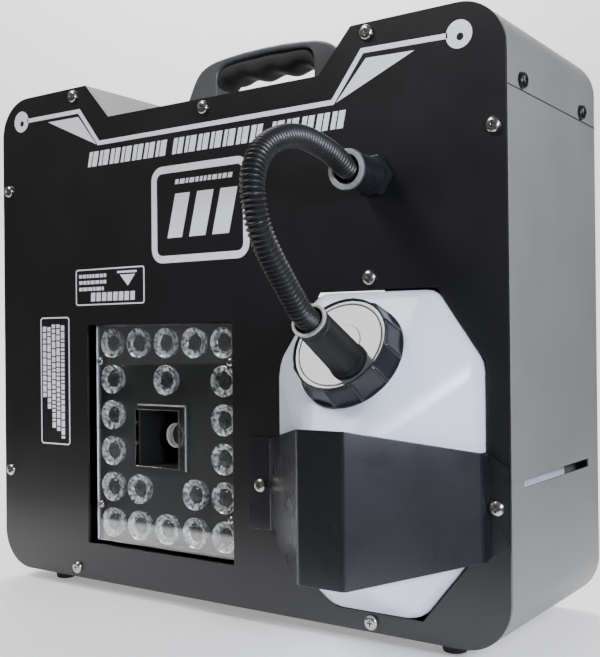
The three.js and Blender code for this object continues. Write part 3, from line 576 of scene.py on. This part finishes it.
def add_print():
    """The plate's plain trim: a line round the notch, eyes, arrow triangles and empty frames."""
    line_z, low_z = 315.4, 291.6
    points = [(-166, 315.9), (-113.4, line_z), (-94.8, low_z), (90.2, low_z), (109.6, 317), (161, 315.6)]
    parts = [
        stripe(points, 1.45),
        eye(-172.3, 316),
        eye(167.4, 315.4),
        printed([(-144.2, 312), (-114.2, 311.6), (-97, 291)]),
        printed([(112, 312.6), (141.7, 311.6), (92.5, 291)]),
        frame_box(-47.4, 31, 208.4, 269.5, 4.6, 9),
        frame_box(-117.8, -54.2, 183.6, 208, 0.9, 2),
        frame_box(-153.8, -124.6, 88.6, 176.4, 0.9, 2.5),
    ]
    put("plate_trim", join(*parts), "white_print")
    add_generic_marks()


def slanted(x, z, width, height, lean=0.22):
    """A leaning block, from its lower left corner."""
    shift = lean * height
    return printed([(x, z), (x + width, z), (x + width + shift, z + height), (x + shift, z + height)])


def add_generic_marks():
    """Plain leaning bars and dashes, where the original carries words and a maker's sign."""
    chance = random.Random(7)
    bars = []
    for start, count in ((-105.2, 7), (-29.7, 7), (47, 2), (68, 3)):
        for k in range(count):
            x = start + 10.2 * k
            first = chance.uniform(2.4, 3.8)
            bars.append(slanted(x, 276.4, first, 9.9))
            bars.append(slanted(x + first + 1.0, 276.4, 7.3 - first, 9.9))
    x = -27.4
    while x < 19:
        width = chance.uniform(1.8, 4)
        bars.append(slanted(x, 257.4, width, 3.0))
        x += width + 1.1
    for x, width in ((-34, 12), (-16, 13), (2.5, 13)):
        bars.append(slanted(x, 224, width, 27.5, 0.25))
    for level_z in (203.2, 199.0, 194.6):
        x = -114.5
        while x < -91:
            width = chance.uniform(1.6, 4.4)
            bars.append(rule(x, min(x + width, -88.8), level_z, 2.4))
            x += width + 0.8
    for k in range(8):
        bars.append(slanted(-103.3 + 5.2 * k, 186.2, 3.9, 5.8, 0.05))
    bars.append(stripe([(-78.6, 204.8), (-61, 204.8)], 0.7))
    bars.append(printed([(-76, 203), (-62.5, 203), (-69, 195.6)]))
    for k, bottom in enumerate((121, 113, 100, 98, 93)):
        column = -151.5 + 4.6 * k
        z = bottom
        while z < 170:
            length = chance.uniform(1.5, 5)
            bars.append(block((column, PRINT_FRONT, z), (column + 3.3, PRINT_BACK, min(z + length, 171.4)), 0))
            z += length + 0.8
    put("plate_marks", join(*bars), "white_print")


# ---- casing
def add_casing():
    """The sheet case, and a thin dark line along the seam on each side."""
    skin("front_plate", "plate", 0.35)
    skin("lower_shell", "shell", 0.25)
    skin("top_cover", "shell", 0.25)
    skin("back_plate", "shell", 0.3)
    gap = []
    thickness = 0.06
    for side in (-1, 1):
        x = side * WIDTH / 2
        near, far = sorted((x, x + side * thickness))
        gap.append(block((near, PLATE_T, SEAM_Z - 0.1), (far, DEPTH, SEAM_Z + 0.6), 0))
    put("seam_shadow", join(*gap), "dark")
    add_feet()
    add_handle()
    add_back_screws()


def add_feet():
    """Small tapered rubber feet, each with its screw sunk in the middle."""
    well = 4.6  # height of the sunk floor that the screw stands on
    profile = [
        (0, 0), (7.3, 0), (7.5, 0.4), (6.6, 7.2), (6.2, 7.8), (5.6, 8), (4.4, 8), (4.0, 7.6), (3.8, well),
        (0, well),
    ]
    for side, axis in (("base", (0, 0, -1)), ("back", BACKWARD)):
        for number in range(1, 5):
            node = f"{side}_foot_{number}"
            low, high = box_mm(node)
            centre = (low + high) / 2
            start = Vector((centre.x, centre.y, high.z) if side == "base" else (centre.x, low.y, centre.z))
            foot = turned(profile, start, axis, 40)
            head = cross_screw(start + Vector(axis) * well, axis, head=3.0, height=2.0)
            put(f"rubber_{side}_foot_{number}", join(foot, tint(head, 1)), ["rubber", "black_screw"],
                replaces=node)


HANDLE_OUTER = [
    (74, 0.2), (60.4, 27.5), (57.2, 32.4), (53.6, 36), (49.6, 38.3), (45.2, 39.9), (40, 41.1), (30, 42.3),
    (16, 43.3),
]
HANDLE_INNER = [
    (39.7, 0.2), (39.7, 27.5), (39.4, 31), (38.4, 34), (36.4, 36.2), (33, 37.6), (26, 38.6), (12, 39.5),
]


def add_handle():
    """An outer arch with a flat front and, inside it, a darker grip with finger waves underneath."""
    low, high = box_mm("carry_handle")
    mid_x, floor_z = (low.x + high.x) / 2, low.z
    outline = HANDLE_OUTER + [(0, 43.6)] + [(-x, z) for x, z in reversed(HANDLE_OUTER)]
    outline += [(-x, z) for x, z in HANDLE_INNER] + [(0, 39.8)] + list(reversed(HANDLE_INNER))
    arch = prism([(mid_x + x, floor_z + z) for x, z in outline], low.y, high.y, width=1.6, segments=3)
    mid_y, half_y = (low.y + high.y) / 2, (high.y - low.y) / 2 - 1.2
    grip = bmesh.new()
    rings = []
    steps, sides, reach = 96, 32, 40.4
    for i in range(steps + 1):
        x = -reach + 2 * reach * i / steps
        away = abs(x)
        top = 40.4 - 0.0012 * x * x - max(0.0, away - 31) ** 2 * 0.085
        bottom = 26.9 + 1.3 * math.sin(2 * math.pi * x / 23 + 0.6) - max(0.0, away - 33) ** 2 * 0.12
        ring = []
        for k in range(sides):
            c, t = math.cos(2 * math.pi * k / sides), math.sin(2 * math.pi * k / sides)
            size = (abs(c) ** 3.2 + abs(t) ** 3.2) ** (-1 / 3.2)
            z = (top + bottom) / 2 + (top - bottom) / 2 * t * size
            ring.append(grip.verts.new((mid_x + x, mid_y + half_y * c * size, floor_z + z)))
        rings.append(ring)
    put("grip_handle", join(arch, tint(loft(grip, rings), 1)), ["handle_shell", "rubber"],
        replaces="carry_handle", smooth=45)


def add_back_screws():
    margin = 7  # from the back plate's edges
    places = [(x, z) for x in (margin - WIDTH / 2, WIDTH / 2 - margin) for z in (60, 165, 268)]
    places += [(x, z) for x in (-118, 112.5) for z in (margin, HEIGHT - margin)]
    heads = [cross_screw(Vector((x, DEPTH, z)), BACKWARD, head=3.6, height=2.2) for x, z in places]
    put("back_screws", join(*heads), "black_screw", smooth=40)


# ---- LED panel and nozzle
LED_PITCH = 24.0
LED_ROWS = ["xxxxx", "x.x.x", "x...x", "x...x", "xx.xx", "xxxxx"]


def lens_places():
    for r, row in enumerate(LED_ROWS):
        for c, mark in enumerate(row):
            if mark == "x":
                yield LED_X + (c - 2) * LED_PITCH, LED_Z + (2.5 - r) * LED_PITCH


def add_lenses():
    """Each lens has a rim, a mottled faceted reflector and a dark domed core."""
    front, back = box_mm("lens_panel")[0].y, box_mm("lens_panel")[1].y
    chance = random.Random(11)
    parts = []
    for x, z in lens_places():
        place = (x, front, z)
        rim = open_ends(turned(
            [(9.0, 4.6), (9.4, 1.6), (9.9, 1.0), (9.8, 0.3), (9.3, 0.02), (8.9, 0.35)], place, BACKWARD, 36,
        ))
        turn = chance.uniform(0, 2 * math.pi)

        def crumpled(radius, height, angle, turn=turn):
            if radius >= 8.5:
                return radius
            return radius * (1 + 0.05 * math.sin(5 * angle + turn) + 0.03 * math.sin(9 * angle + 2 * turn))

        cone = open_ends(turned(
            [(8.9, 0.35), (7.4, 1.1), (6.2, 1.5), (5.2, 2.6), (4.8, 3.6)], place, BACKWARD, 24, crumpled,
        ))
        core = turned([(5.6, 4.0), (5.2, 2.4), (4.2, 1.5), (2.4, 1.0), (0, 0.8)], place, BACKWARD, 24)
        parts += [tint(rim, 1), tint(cone, 1), tint(core, 2)]
    put("lens_array", join(lens_board(back - 1.5, back), *parts), ["board", "chrome", "lens_core"],
        replaces="lens_panel", smooth=25)


def lens_board(y0, y1):
    """The flat board behind the lenses, in four blocks round the duct."""
    low, high = box_mm("lens_panel")
    duct_low, duct_high = box_mm("nozzle_duct")
    gap = Vector((0.3, 0, 0.3))
    hole_low, hole_high = duct_low - gap, duct_high + gap
    return join(
        block((low.x, y0, low.z), (high.x, y1, hole_low.z), 0),
        block((low.x, y0, hole_high.z), (high.x, y1, high.z), 0),
        block((low.x, y0, hole_low.z), (hole_low.x, y1, hole_high.z), 0),
        block((hole_high.x, y0, hole_low.z), (high.x, y1, hole_high.z), 0),
    )


def add_window():
    """The clear sheet: one shell with a square hole, whose outer left edge is paler than its faces: a sawn
    edge, made pale on this edge only as a painted highlight.
    """
    low, high = box_mm("window_sheet")
    bm = cad_copy("window_sheet")
    soften(bm, 0.15, 1)
    for face in bm.faces:
        # Painted highlight: only the outer left edge takes the pale edge material.
        face.material_index = 1 if face.normal.x < -0.9 and face.calc_center_median().x < low.x + 1 else 0
    sheet = put("clear_window", bm, ["clear", "acrylic_edge_highlight"], replaces="window_sheet")
    sheet.visible_shadow = False
    heads = []
    for z in (LED_Z + 2 * LED_PITCH, LED_Z - 2 * LED_PITCH):
        for x in (low.x + 4, high.x - 2.4):
            heads.append(cross_screw(Vector((x, low.y - 0.02, z)), FORWARD, head=2.4, height=1.6))
    put("window_screws", join(*heads), "nickel", smooth=40)


def add_nozzle():
    """A turned cup with a small bore, its floor and bore near-black as painted shade, in a square dark duct
    whose top and right front edges carry a painted highlight.
    """
    low, high = box_mm("nozzle")
    radius, length = (high.x - low.x) / 2, high.y - low.y
    bore, cup, cup_floor = 1.5, 6.9, 5.0
    profile = [
        (bore, length), (bore, cup_floor), (cup, cup_floor), (7.3, 4.4), (7.4, 0.9), (7.7, 0.1),
        (radius - 0.4, 0.0), (radius, 0.6), (radius, length), (bore, length),
    ]
    centre = middle("nozzle")
    bm = turned(profile, (centre.x, low.y, centre.z), BACKWARD, 64)
    for face in bm.faces:
        spot = face.calc_center_median()
        spread = math.hypot(spot.x - centre.x, spot.z - centre.z)
        # Painted shade: the cup's floor and bore take the near-black material.
        face.material_index = 1 if spread < cup - 0.1 and spot.y > low.y + cup_floor - 1 else 0
    put("fog_nozzle", bm, ["plated", "dark"], replaces="nozzle")
    low, high = box_mm("nozzle_duct")
    sheet = 1.0
    walls = [
        block(low, (low.x + sheet, high.y, high.z), 0.1), block((high.x - sheet, low.y, low.z), high, 0.1),
        block((low.x, low.y, low.z), (high.x, high.y, low.z + sheet), 0.1),
        block((low.x, low.y, high.z - sheet), high, 0.1),
    ]
    # Painted highlight: pale strips on the duct's top and right front edges only.
    painted_highlight_edges = [
        tint(block((low.x, low.y - 0.1, high.z - sheet), (high.x, low.y + 0.3, high.z + 0.1), 0.05), 1),
        tint(block((high.x - sheet, low.y - 0.1, low.z), (high.x + 0.1, low.y + 0.3, high.z), 0.05), 1),
    ]
    put("dark_duct", join(*walls, *painted_highlight_edges), ["dark", "painted_rim_highlight"], replaces="nozzle_duct")


# ---- bottle, bracket, cap and hose
NOSE_Y, NOSE_HALF, NOSE_LOW_Z, NOSE_TOP_Z = BOTTLE_LOW.y, 13.5, 40.0, 104.0
FRONT_Y, FRONT_TOP_Z = -5.0, 185.0
NECK_Z = 150.0
FACET_TILT = math.atan2(FRONT_Y - NOSE_Y, FRONT_TOP_Z - NOSE_TOP_Z)
NECK_AXIS = Vector((0, -math.cos(FACET_TILT), math.sin(FACET_TILT)))
NECK_BASE = Vector((BOTTLE_X, FRONT_Y - (FRONT_TOP_Z - NECK_Z) * math.tan(FACET_TILT), NECK_Z))
GLAND_Z = 247.5
DISC_TOP = 14.2  # heights on the cap are along the neck from the facet it stands on
ELBOW_HIGH = 55.1
ELBOW_DOWN, ELBOW_ASIDE = 10.2, 8.5  # how far the spout stands off the middle of the disc
DOWN_DISC = Vector((0, -NECK_AXIS.z, NECK_AXIS.y))
ELBOW_BASE = NECK_BASE + DOWN_DISC * ELBOW_DOWN + Vector((ELBOW_ASIDE, 0, 0))


def up_elbow(height):
    """The point at a height on the spout's middle line."""
    return ELBOW_BASE + NECK_AXIS * height


def bottle_outline():
    """The bottle's eight-sided outline from the front."""
    x = BOTTLE_X
    half, top_half, bottom_half = 62.5, 36, 26
    base_z, lower_z, upper_z = 12, 57, 147
    return [
        (x - bottom_half, base_z), (x + bottom_half, base_z), (x + half, lower_z), (x + half, upper_z),
        (x + top_half, FRONT_TOP_Z), (x - top_half, FRONT_TOP_Z), (x - half, upper_z), (x - half, lower_z),
    ]


def add_bottle():
    """The hull of the outline and of the nose's front, with the neck and its collar."""
    bm = bmesh.new()
    points = [(x, y, z) for x, z in bottle_outline() for y in (FRONT_Y, BOTTLE_HIGH.y)]
    points += [(BOTTLE_X + s * NOSE_HALF, NOSE_Y, z) for s in (-1, 1) for z in (NOSE_LOW_Z, NOSE_TOP_Z)]
    for point in points:
        bm.verts.new(point)
    bmesh.ops.convex_hull(bm, input=bm.verts)
    bmesh.ops.dissolve_limit(bm, angle_limit=math.radians(2), verts=bm.verts, edges=bm.edges)
    soften(bm, 5.5, 4, angle=12)
    neck = turned([(24, -6), (24, 12), (23.6, 12.4), (21.5, 12.4), (21.5, -6)], NECK_BASE, NECK_AXIS, 64)
    collar = turned([(28.6, -3), (28.6, 0.4), (28, 0.8), (24, 0.8), (24, -3)], NECK_BASE, NECK_AXIS, 64)
    put("fluid_bottle", join(bm, neck, collar), "bottle", replaces="bottle", smooth=40)


def add_bracket():
    """One bent strip: its plan runs from flange to flange, with a small radius at each bend."""
    low, high = box_mm("bottle_bracket")
    seat, sheet = high.y, 1.5
    nose = low.y + sheet
    plan = [
        (low.x, seat), (46.5, seat), (104.2, nose), (129.8, nose), (180.2, -7.4), (180.2, seat), (high.x, seat),
    ]
    radii = [0, 3, 3, 3, 2.6, 1.6, 0]
    line = rounded_line(plan, radii)
    tops = [(low.x, 102.2), (46.5, 102.2), (103.5, 114.6), (130.5, 114.6), (181, 102), (high.x, 94.2)]
    bottoms = [(low.x, 48.6), (46.5, 48.6), (103.5, 36.5), (130.5, 36.5), (181, 47.6), (high.x, 53.4)]
    bm = bmesh.new()
    rows = 7
    grid = {}
    for i, (point, normal) in enumerate(line):
        top, bottom = level(tops, point.x), level(bottoms, point.x)
        for side, offset in ((0, 0.0), (1, sheet)):
            for r in range(rows + 1):
                z = bottom + (top - bottom) * r / rows
                place = point + normal * offset
                grid[i, side, r] = bm.verts.new((place.x, place.y, z))

    def quad(*corners):
        bm.faces.new([grid[corner] for corner in corners])

    last = len(line) - 1
    for i in range(last):
        for r in range(rows):
            for side in (0, 1):
                quad((i, side, r), (i + 1, side, r), (i + 1, side, r + 1), (i, side, r + 1))
        for r in (0, rows):
            quad((i, 0, r), (i + 1, 0, r), (i + 1, 1, r), (i, 1, r))
    for i in (0, last):
        for r in range(rows):
            quad((i, 0, r), (i, 1, r), (i, 1, r + 1), (i, 0, r + 1))
    soften(outward(bm), 0.35, 2, angle=60)
    put("bent_bracket", bm, "bracket", replaces="bottle_bracket", smooth=35)


def level(points, x):
    """The height of a broken line at x."""
    if x <= points[0][0]:
        return points[0][1]
    for (x0, z0), (x1, z1) in zip(points, points[1:]):
        if x <= x1:
            return z0 + (z1 - z0) * (x - x0) / (x1 - x0)
    return points[-1][1]


def rounded_line(points, radii):
    """A plan line with its corners rounded, as (point, outward normal) pairs."""
    pts = [Vector(p) for p in points]
    result = []
    for i, p in enumerate(pts):
        if not radii[i]:
            ahead = (pts[i + 1] - p) if i < len(pts) - 1 else (p - pts[i - 1])
            ahead.normalize()
            result.append((p, Vector((ahead.y, -ahead.x))))
            continue
        a, b = (pts[i - 1] - p).normalized(), (pts[i + 1] - p).normalized()
        half = a.angle(b) / 2
        reach = radii[i] / math.tan(half)
        start, end = p + a * reach, p + b * reach
        centre = p + (a + b).normalized() * (radii[i] / math.sin(half))
        turn = 1 if a.cross(b) < 0 else -1
        for k in range(7):
            t = k / 6
            arm = (start - centre).lerp(end - centre, t)
            arm = arm.normalized() * radii[i]
            spot = centre + arm
            result.append((spot, arm.normalized() * turn))
    fixed = []
    for spot, normal in result:
        if normal.y > 0 and fixed and normal.dot(fixed[-1][1]) < 0:
            normal = -normal
        fixed.append((spot, normal))
    return [(Vector((s.x, s.y, 0)), Vector((n.x, n.y, 0))) for s, n in fixed]


def add_cap_ring():
    """A flared skirt with flats and small ridges, and a thin lip round the pale disc."""
    flats = 12
    foot, top, skirt = 2.4, 13.6, 27.1  # the flats' lowest and highest points, and their least radius
    bore, bore_low, bore_top, ridge_high = 24.7, 1.0, 12.8, 0.45

    def faceted(radius, height, angle):
        if radius < skirt or height < foot - 0.1:
            return radius
        half = math.pi / flats
        turn = abs((angle % (2 * half)) - half)
        flat = radius * math.cos(half) / math.cos(turn)
        ridge = ridge_high if turn > half * 0.86 and height < top + 0.1 else 0.0
        return flat + ridge

    profile = [
        (bore, bore_low), (29.9, bore_low), (30.2, 1.3), (30.2, 1.9), (29.7, foot), (29.5, 3.2), (27.9, 12.4),
        (27.6, top), (27.2, 14.6), (26.7, 15.2), (26.3, 15.3), (25.9, 15.0), (25.9, 14.6), (26.4, 14.5),
        (26.4, bore_top), (bore, bore_top), (bore, bore_low),
    ]
    bm = turned(profile, NECK_BASE, NECK_AXIS, 240, faceted)
    put("screw_ring", bm, "cap", "cap_ring_body", "cap_ring", smooth=18)


def add_cap_disc():
    """A shallow pale dish: a raised rim, a step, and a flat middle that the spout stands on."""
    low, dish = 13.0, 13.75
    profile = [
        (0, low), (26, low), (26.1, low + 0.1), (26.1, 14.0), (25.9, DISC_TOP), (24.3, DISC_TOP), (23.7, 14.0),
        (23.2, dish), (12, dish), (11.6, DISC_TOP), (0, DISC_TOP),
    ]
    disc = turned(profile, NECK_BASE, NECK_AXIS, 96)
    put("pale_cap_disc", disc, "disc", replaces="cap_disc")


def add_elbow():
    """A straight black spout: a round foot on the disc, a tapered stub and a pale rolled rim at its socket,
    whose pale grey is a painted highlight.
    """
    start, reach = up_elbow(DISC_TOP - 0.3), ELBOW_HIGH - DISC_TOP + 0.3
    wall = [(9.7, 0), (8.7, reach - 6.2), (8.85, reach - 5.6), (8.4, reach - 5.0), (8.4, reach - 3.9)]
    rim = [(8.9, reach - 3.3), (9.1, reach - 2.4), (9.1, reach - 0.9), (8.8, reach - 0.2), (8.2, reach)]
    socket = [(7.4, reach - 0.3), (7.0, reach - 1.4), (6.35, reach - 2.0), (6.35, reach - 12), (0, reach - 12)]
    stub = turned([(0, 0)] + wall + rim + socket, start, NECK_AXIS, 56)
    foot = turned(
        [(0, 0), (10.2, 0), (10.3, 0.5), (10.2, 1.8), (9.9, 2.6), (9.6, 3.6), (9.3, 5.2), (0, 5.2)],
        start, NECK_AXIS, 56,
    )
    spigot = turned([(7.5, -18), (7.5, 0.2)], start, NECK_AXIS, 32)
    # The lip's pale grey is a painted highlight.
    lip = open_ends(turned(
        [(9.2, reach - 1.2), (9.05, reach + 0.05), (8.1, reach + 0.15), (7.4, reach - 0.25)],
        start, NECK_AXIS, 56,
    ))
    put("cap_elbow_stub", join(stub, foot, spigot, tint(lip, 1)), ["cap_dull", "painted_rim_highlight"],
        replaces="cap_elbow", smooth=40)


HOSE_ROUTE = [
    (116.8, -19, 247.3), (116.8, -25, 247.5), (116.8, -30.5, 248.7), (116.9, -37.6, 251.6),
    (117.1, -45.9, 254.1), (117.4, -54.6, 255.7), (117.9, -64.1, 256.8), (118.4, -73.4, 256.9),
    (119, -83.5, 255.5), (119.7, -92.7, 252.8), (120.3, -100.5, 249.5), (121, -107.2, 245.2),
    (121.8, -112.7, 239.5), (122.4, -116.2, 233), (123.1, -117.8, 226.9), (123.7, -117.5, 220.6),
    (124.2, -115.2, 210.4), (124.7, -108.9, 199.4), (125.1, -99.4, 188.2), (125.3, -91.2, 179.4),
]


def add_hose():
    """A corrugated hose from inside the gland's nut to inside the spout."""
    pitch, depth, steps = 2.35, 1.5, 6  # of the ribs, and the path's points along each
    route = HOSE_ROUTE + [tuple(up_elbow(ELBOW_HIGH + ahead)) for ahead in (6, -3, -11.7)]
    path, length = smooth_path(route, pitch / steps)

    def ribbed(distance):
        wave = 0.5 + 0.5 * math.cos(2 * math.pi * distance / pitch)
        return HOSE_RADIUS - depth * (1 - wave ** 0.7)

    bm = tube(path, ribbed, 24)
    piece = put("ribbed_hose", bm, "hose", replaces="hose", smooth=60, weighted=False)


def add_gland():
    """A hexagon on the plate, a ribbed neck, and a nut whose pale lip, a painted highlight, stands round the
    hose.
    """
    start = Vector((BOTTLE_X, 0, GLAND_Z))
    hexagon = turned([(0, 0.3), (12.0, 0.3), (12.0, 6.2), (0, 6.2)], start, FORWARD, 6)
    soften(hexagon, 0.6, 2)
    ribs, pitch = [(0, 6.0), (9.4, 6.0)], 3.2
    for k in range(5):
        ribs += [(r, ahead + pitch * k) for r, ahead in ((9.9, 6.6), (9.9, 8.2), (8.7, 8.6), (8.7, 9.4))]
    ribs += [(8.7, 23), (0, 23)]
    body = turned(ribs, start, FORWARD, 48)
    nut = turned(
        [(0, 21.6), (9.6, 21.6), (10.0, 22.0), (10.0, 24.6), (10.7, 25.2), (10.9, 25.8), (10.9, 28.9),
         (10.5, 29.8), (9.6, 30.1), (8.3, 30.0), (7.75, 29.4), (7.6, 28.4), (7.6, 18), (0, 18)],
        start, FORWARD, 64,
    )
    tail = turned([(5.6, -12.8), (5.6, 1)], start, FORWARD, 24)
    # The lip's pale grey is a painted highlight.
    lip = open_ends(turned(
        [(10.95, 28.4), (10.6, 29.9), (9.6, 30.15), (8.3, 30.1), (7.7, 29.4)], start, FORWARD, 64,
    ))
    put("ribbed_gland", join(hexagon, body, nut, tail, tint(lip, 1)), ["cap", "painted_rim_highlight"],
        replaces="hose_gland", smooth=35)


# ---- control side
def add_controls():
    skin("control_panel", "plate", 0.2)
    add_display()
    for number in range(1, 5):
        add_button(number)
    add_sockets()
    skin("switch_frame", "moulded", 0.5, 3)
    skin("power_rocker", "moulded", 0.5, 3, "power_rocker_body")
    skin("fuse_holder", "moulded", 0.4, 2)
    skin("fuse_cap", "moulded", 0.4, 2, "fuse_cap_body")
    skin("control_board", "board", 0.1)
    skin("power_board", "board", 0.2)


def add_display():
    """A bezel round a dark glass, with four plain lit digits."""
    low = box_mm("display")[0]
    bezel = soften(cad_copy("display"), 0.4, 2)
    glass_x = low.x + 0.75
    y_mid, z_mid = middle("display").yz
    half_y, half_z = 22.8, 7.8
    glass = block(
        (glass_x, y_mid - half_y, z_mid - half_z), (glass_x + 0.5, y_mid + half_y, z_mid + half_z), 0.1,
    )
    digits = []
    strokes = [(0, 5, 5, 0.9), (0, 0, 5, 0.9), (0, -5, 5, 0.9), (2.8, 2.5, 0.9, 4), (-2.8, -2.5, 0.9, 4)]
    for k in range(4):
        y = y_mid - 15 + 10 * k
        for dy, dz, wide, tall in strokes:
            digits.append(block(
                (glass_x - 0.06, y + dy - wide / 2, z_mid + dz - tall / 2),
                (glass_x + 0.05, y + dy + wide / 2, z_mid + dz + tall / 2), 0,
            ))
    bars = tint(join(*digits), 2)
    put("display_module", join(bezel, tint(glass, 1), bars), ["moulded", "screen", "segments"],
        replaces="display")


def add_button(number):
    node = f"button_{number}"
    low, centre = box_mm(node)[0], middle(node)
    profile = [
        (0, 0.35), (2.4, 0.15), (3.3, 0.0), (3.8, 0.25), (4, 0.8), (4, 5.0), (5.2, 5.7), (5.2, 6.6), (4, 6.7),
        (4, 8), (0, 8),
    ]
    cap = turned(profile, (low.x, centre.y, centre.z), (1, 0, 0), 40)
    put(f"push_{node}", cap, "moulded", f"{node}_body", node, smooth=35)


def pin(y, z, x0, x1, radius):
    profile = [(0, 0), (radius * 0.6, 0), (radius, radius * 0.6), (radius, x1 - x0)]
    return turned(profile, (x0, y, z), (1, 0, 0), 16)


def add_sockets():
    for node in ("dmx_input", "dmx_output"):
        low, centre = box_mm(node)[0], middle(node)
        body = soften(cad_copy(node), 0.35, 2)
        extras = []
        for sy, sz in ((-1, 1), (1, -1)):
            seat = Vector((low.x, centre.y + sy * 9.6, centre.z + sz * 12))
            extras.append(tint(cross_screw(seat, (-1, 0, 0), head=2.4, height=1.4), 1))
        if node == "dmx_input":
            for k in range(3):
                angle, spread = 2 * math.pi * k / 3 + math.pi / 2, 4.2
                y, z = centre.y + spread * math.cos(angle), centre.z + spread * math.sin(angle)
                extras.append(tint(pin(y, z, low.x + 3, low.x + 14.5, 1.2), 2))
        put(node + "_socket", join(body, *extras), ["steel", "black_screw", "contact"],
            replaces=node)
    skin("dmx_latch", "steel", 0.6, 3, "dmx_latch_body")
    low, centre = box_mm("mains_inlet")[0], middle("mains_inlet")
    body = soften(cad_copy("mains_inlet"), 0.6, 3)
    drop = -2  # of the two outer blades
    blades = [
        block((low.x + 4, centre.y + dy - 2, centre.z + drop - 0.8),
              (low.x + 15.5, centre.y + dy + 2, centre.z + drop + 0.8), 0.3)
        for dy in (-7, 7)
    ]
    blades.append(block(
        (low.x + 3, centre.y - 2, centre.z + 1.7), (low.x + 15.5, centre.y + 2, centre.z + 3.3), 0.3,
    ))
    heads = [
        tint(cross_screw(Vector((low.x, centre.y + dy, centre.z)), (-1, 0, 0), head=2.8, height=1.6), 2)
        for dy in (-20, 20)
    ]
    put("mains_inlet_socket", join(body, *[tint(b, 1) for b in blades], *heads),
        ["moulded", "contact", "black_screw"], replaces="mains_inlet")


# ---- inside
def add_inside():
    """The hidden nodes keep their CAD shape and only get their looks."""
    for node, material in (
        ("led_board", "board"), ("heater_block", "aluminium"), ("heater_jacket", "steel"),
        ("pump_body", "steel"), ("pump_spring", "steel"), ("suction_tube", "tube"),
        ("pressure_tube", "steel"), ("pickup_tube", "tube"),
    ):
        NODES[node].data.materials.clear()
        NODES[node].data.materials.append(MAT[material])
    skin("pump_piston", "steel", 0.4, 2, "pump_piston_body")


# ---- floor, light and world
def add_floor():
    """A pale table that bends up behind the machine. In front of it and to its right the table is painted dark,
    so its pale part is a painted pool of light, and that pale part glows as painted light.
    """
    bend, start, height = 0.5, 1.0, 2.6
    profile = [(-4.0, 0), (start, 0)]
    profile += [
        (start + bend * math.sin(math.radians(a)), bend - bend * math.cos(math.radians(a)))
        for a in range(10, 91, 10)
    ]
    profile.append((start + bend, height))
    bm = bmesh.new()
    rows = [[bm.verts.new((x, y, z)) for x in (-6, 6)] for y, z in profile]
    for a, b in zip(rows, rows[1:]):
        bm.faces.new((a[0], a[1], b[1], b[0]))
    mesh = bpy.data.meshes.new("table")
    bm.to_mesh(mesh)
    bm.free()
    mesh.polygons.foreach_set("use_smooth", [True] * len(mesh.polygons))
    floor = show("table", mesh)
    floor.rotation_euler.z = CAMERA_YAW
    material, tree, shader = new_material("table_paper_painted_light")
    shader.inputs["Roughness"].default_value = 0.8
    place = tree.nodes.new("ShaderNodeNewGeometry")
    split = tree.nodes.new("ShaderNodeSeparateXYZ")
    link(tree, place.outputs["Position"], split.inputs["Vector"])
    edges = []
    # Painted shade: the table turns dark beyond these edges, in front of the machine and to its right.
    for axis, dark_from, pale_from in (("Y", -0.20, -0.185), ("X", 0.32, 0.26)):
        edge = tree.nodes.new("ShaderNodeMapRange")
        edge.inputs["From Min"].default_value = dark_from
        edge.inputs["From Max"].default_value = pale_from
        link(tree, split.outputs[axis], edge.inputs["Value"])
        edges.append(edge)
    both = tree.nodes.new("ShaderNodeMath")
    both.operation = "MULTIPLY"
    link(tree, edges[0].outputs["Result"], both.inputs[0])
    link(tree, edges[1].outputs["Result"], both.inputs[1])
    shade = ramp(tree, both.outputs["Value"], (0.03, 0.03, 0.031), (0.88, 0.88, 0.88), 0.0, 1.0)
    link(tree, shade.outputs["Color"], shader.inputs["Base Color"])
    # The pale part glows: painted light that brightens the machine's lower parts and their reflections.
    link(tree, shade.outputs["Color"], shader.inputs["Emission Color"])
    shader.inputs["Emission Strength"].default_value = 0.34
    mesh.materials.append(material)


def area_light(name, place, target, size, power, tint_colour=(1, 1, 1)):
    data = bpy.data.lights.new(name, "AREA")
    data.shape = "RECTANGLE"
    data.size, data.size_y = size
    data.energy = power
    data.color = tint_colour
    lamp = show(name, data)
    place, target = Vector(place), Vector(target)
    lamp.location = place
    lamp.rotation_euler = (target - place).to_track_quat("-Z", "Y").to_euler()


def add_light():
    """A dim world and six lamps: a key from the upper left front, a wide cool one on the right, a small one
    near the bracket, one beside the right side, one above the table and one for the backdrop."""
    world = bpy.data.worlds.new("studio")
    bpy.context.scene.world = world
    world.use_nodes = True
    sky = world.node_tree.nodes["Background"]
    sky.inputs["Color"].default_value = (0.15, 0.15, 0.156, 1)
    area_light("key", (-0.72, -0.93, 1.62), (0.05, 0, 0.18), (0.6, 0.6), 24)
    area_light("right", (1.55, -0.45, 0.85), (0.15, -0.03, 0.13), (0.8, 0.55), 6, (0.95, 0.96, 1))
    area_light("near", (0.60, -0.34, 0.27), (0.17, -0.03, 0.16), (0.1, 0.1), 4.3, (0.82, 0.86, 1))
    area_light("side", (0.62, 0.26, 0.44), (0.19, 0.06, 0.24), (0.2, 0.2), 1.7)
    area_light("top", (-0.1, 0.6, 1.7), (-0.2, 0.8, 0), (1.4, 1.0), 2)
    area_light("backdrop", (-0.6, 0.8, 1.9), (-0.9, 2.0, 0.5), (1.6, 0.8), 58)


make_materials()
add_camera()
add_hose()
add_gland()
add_bottle()
add_bracket()
add_cap_ring()
add_cap_disc()
add_elbow()
add_casing()
add_print()
add_plate_screws()
add_side_screws()
add_lenses()
add_window()
add_nozzle()
add_controls()
add_inside()
add_floor()
add_light()
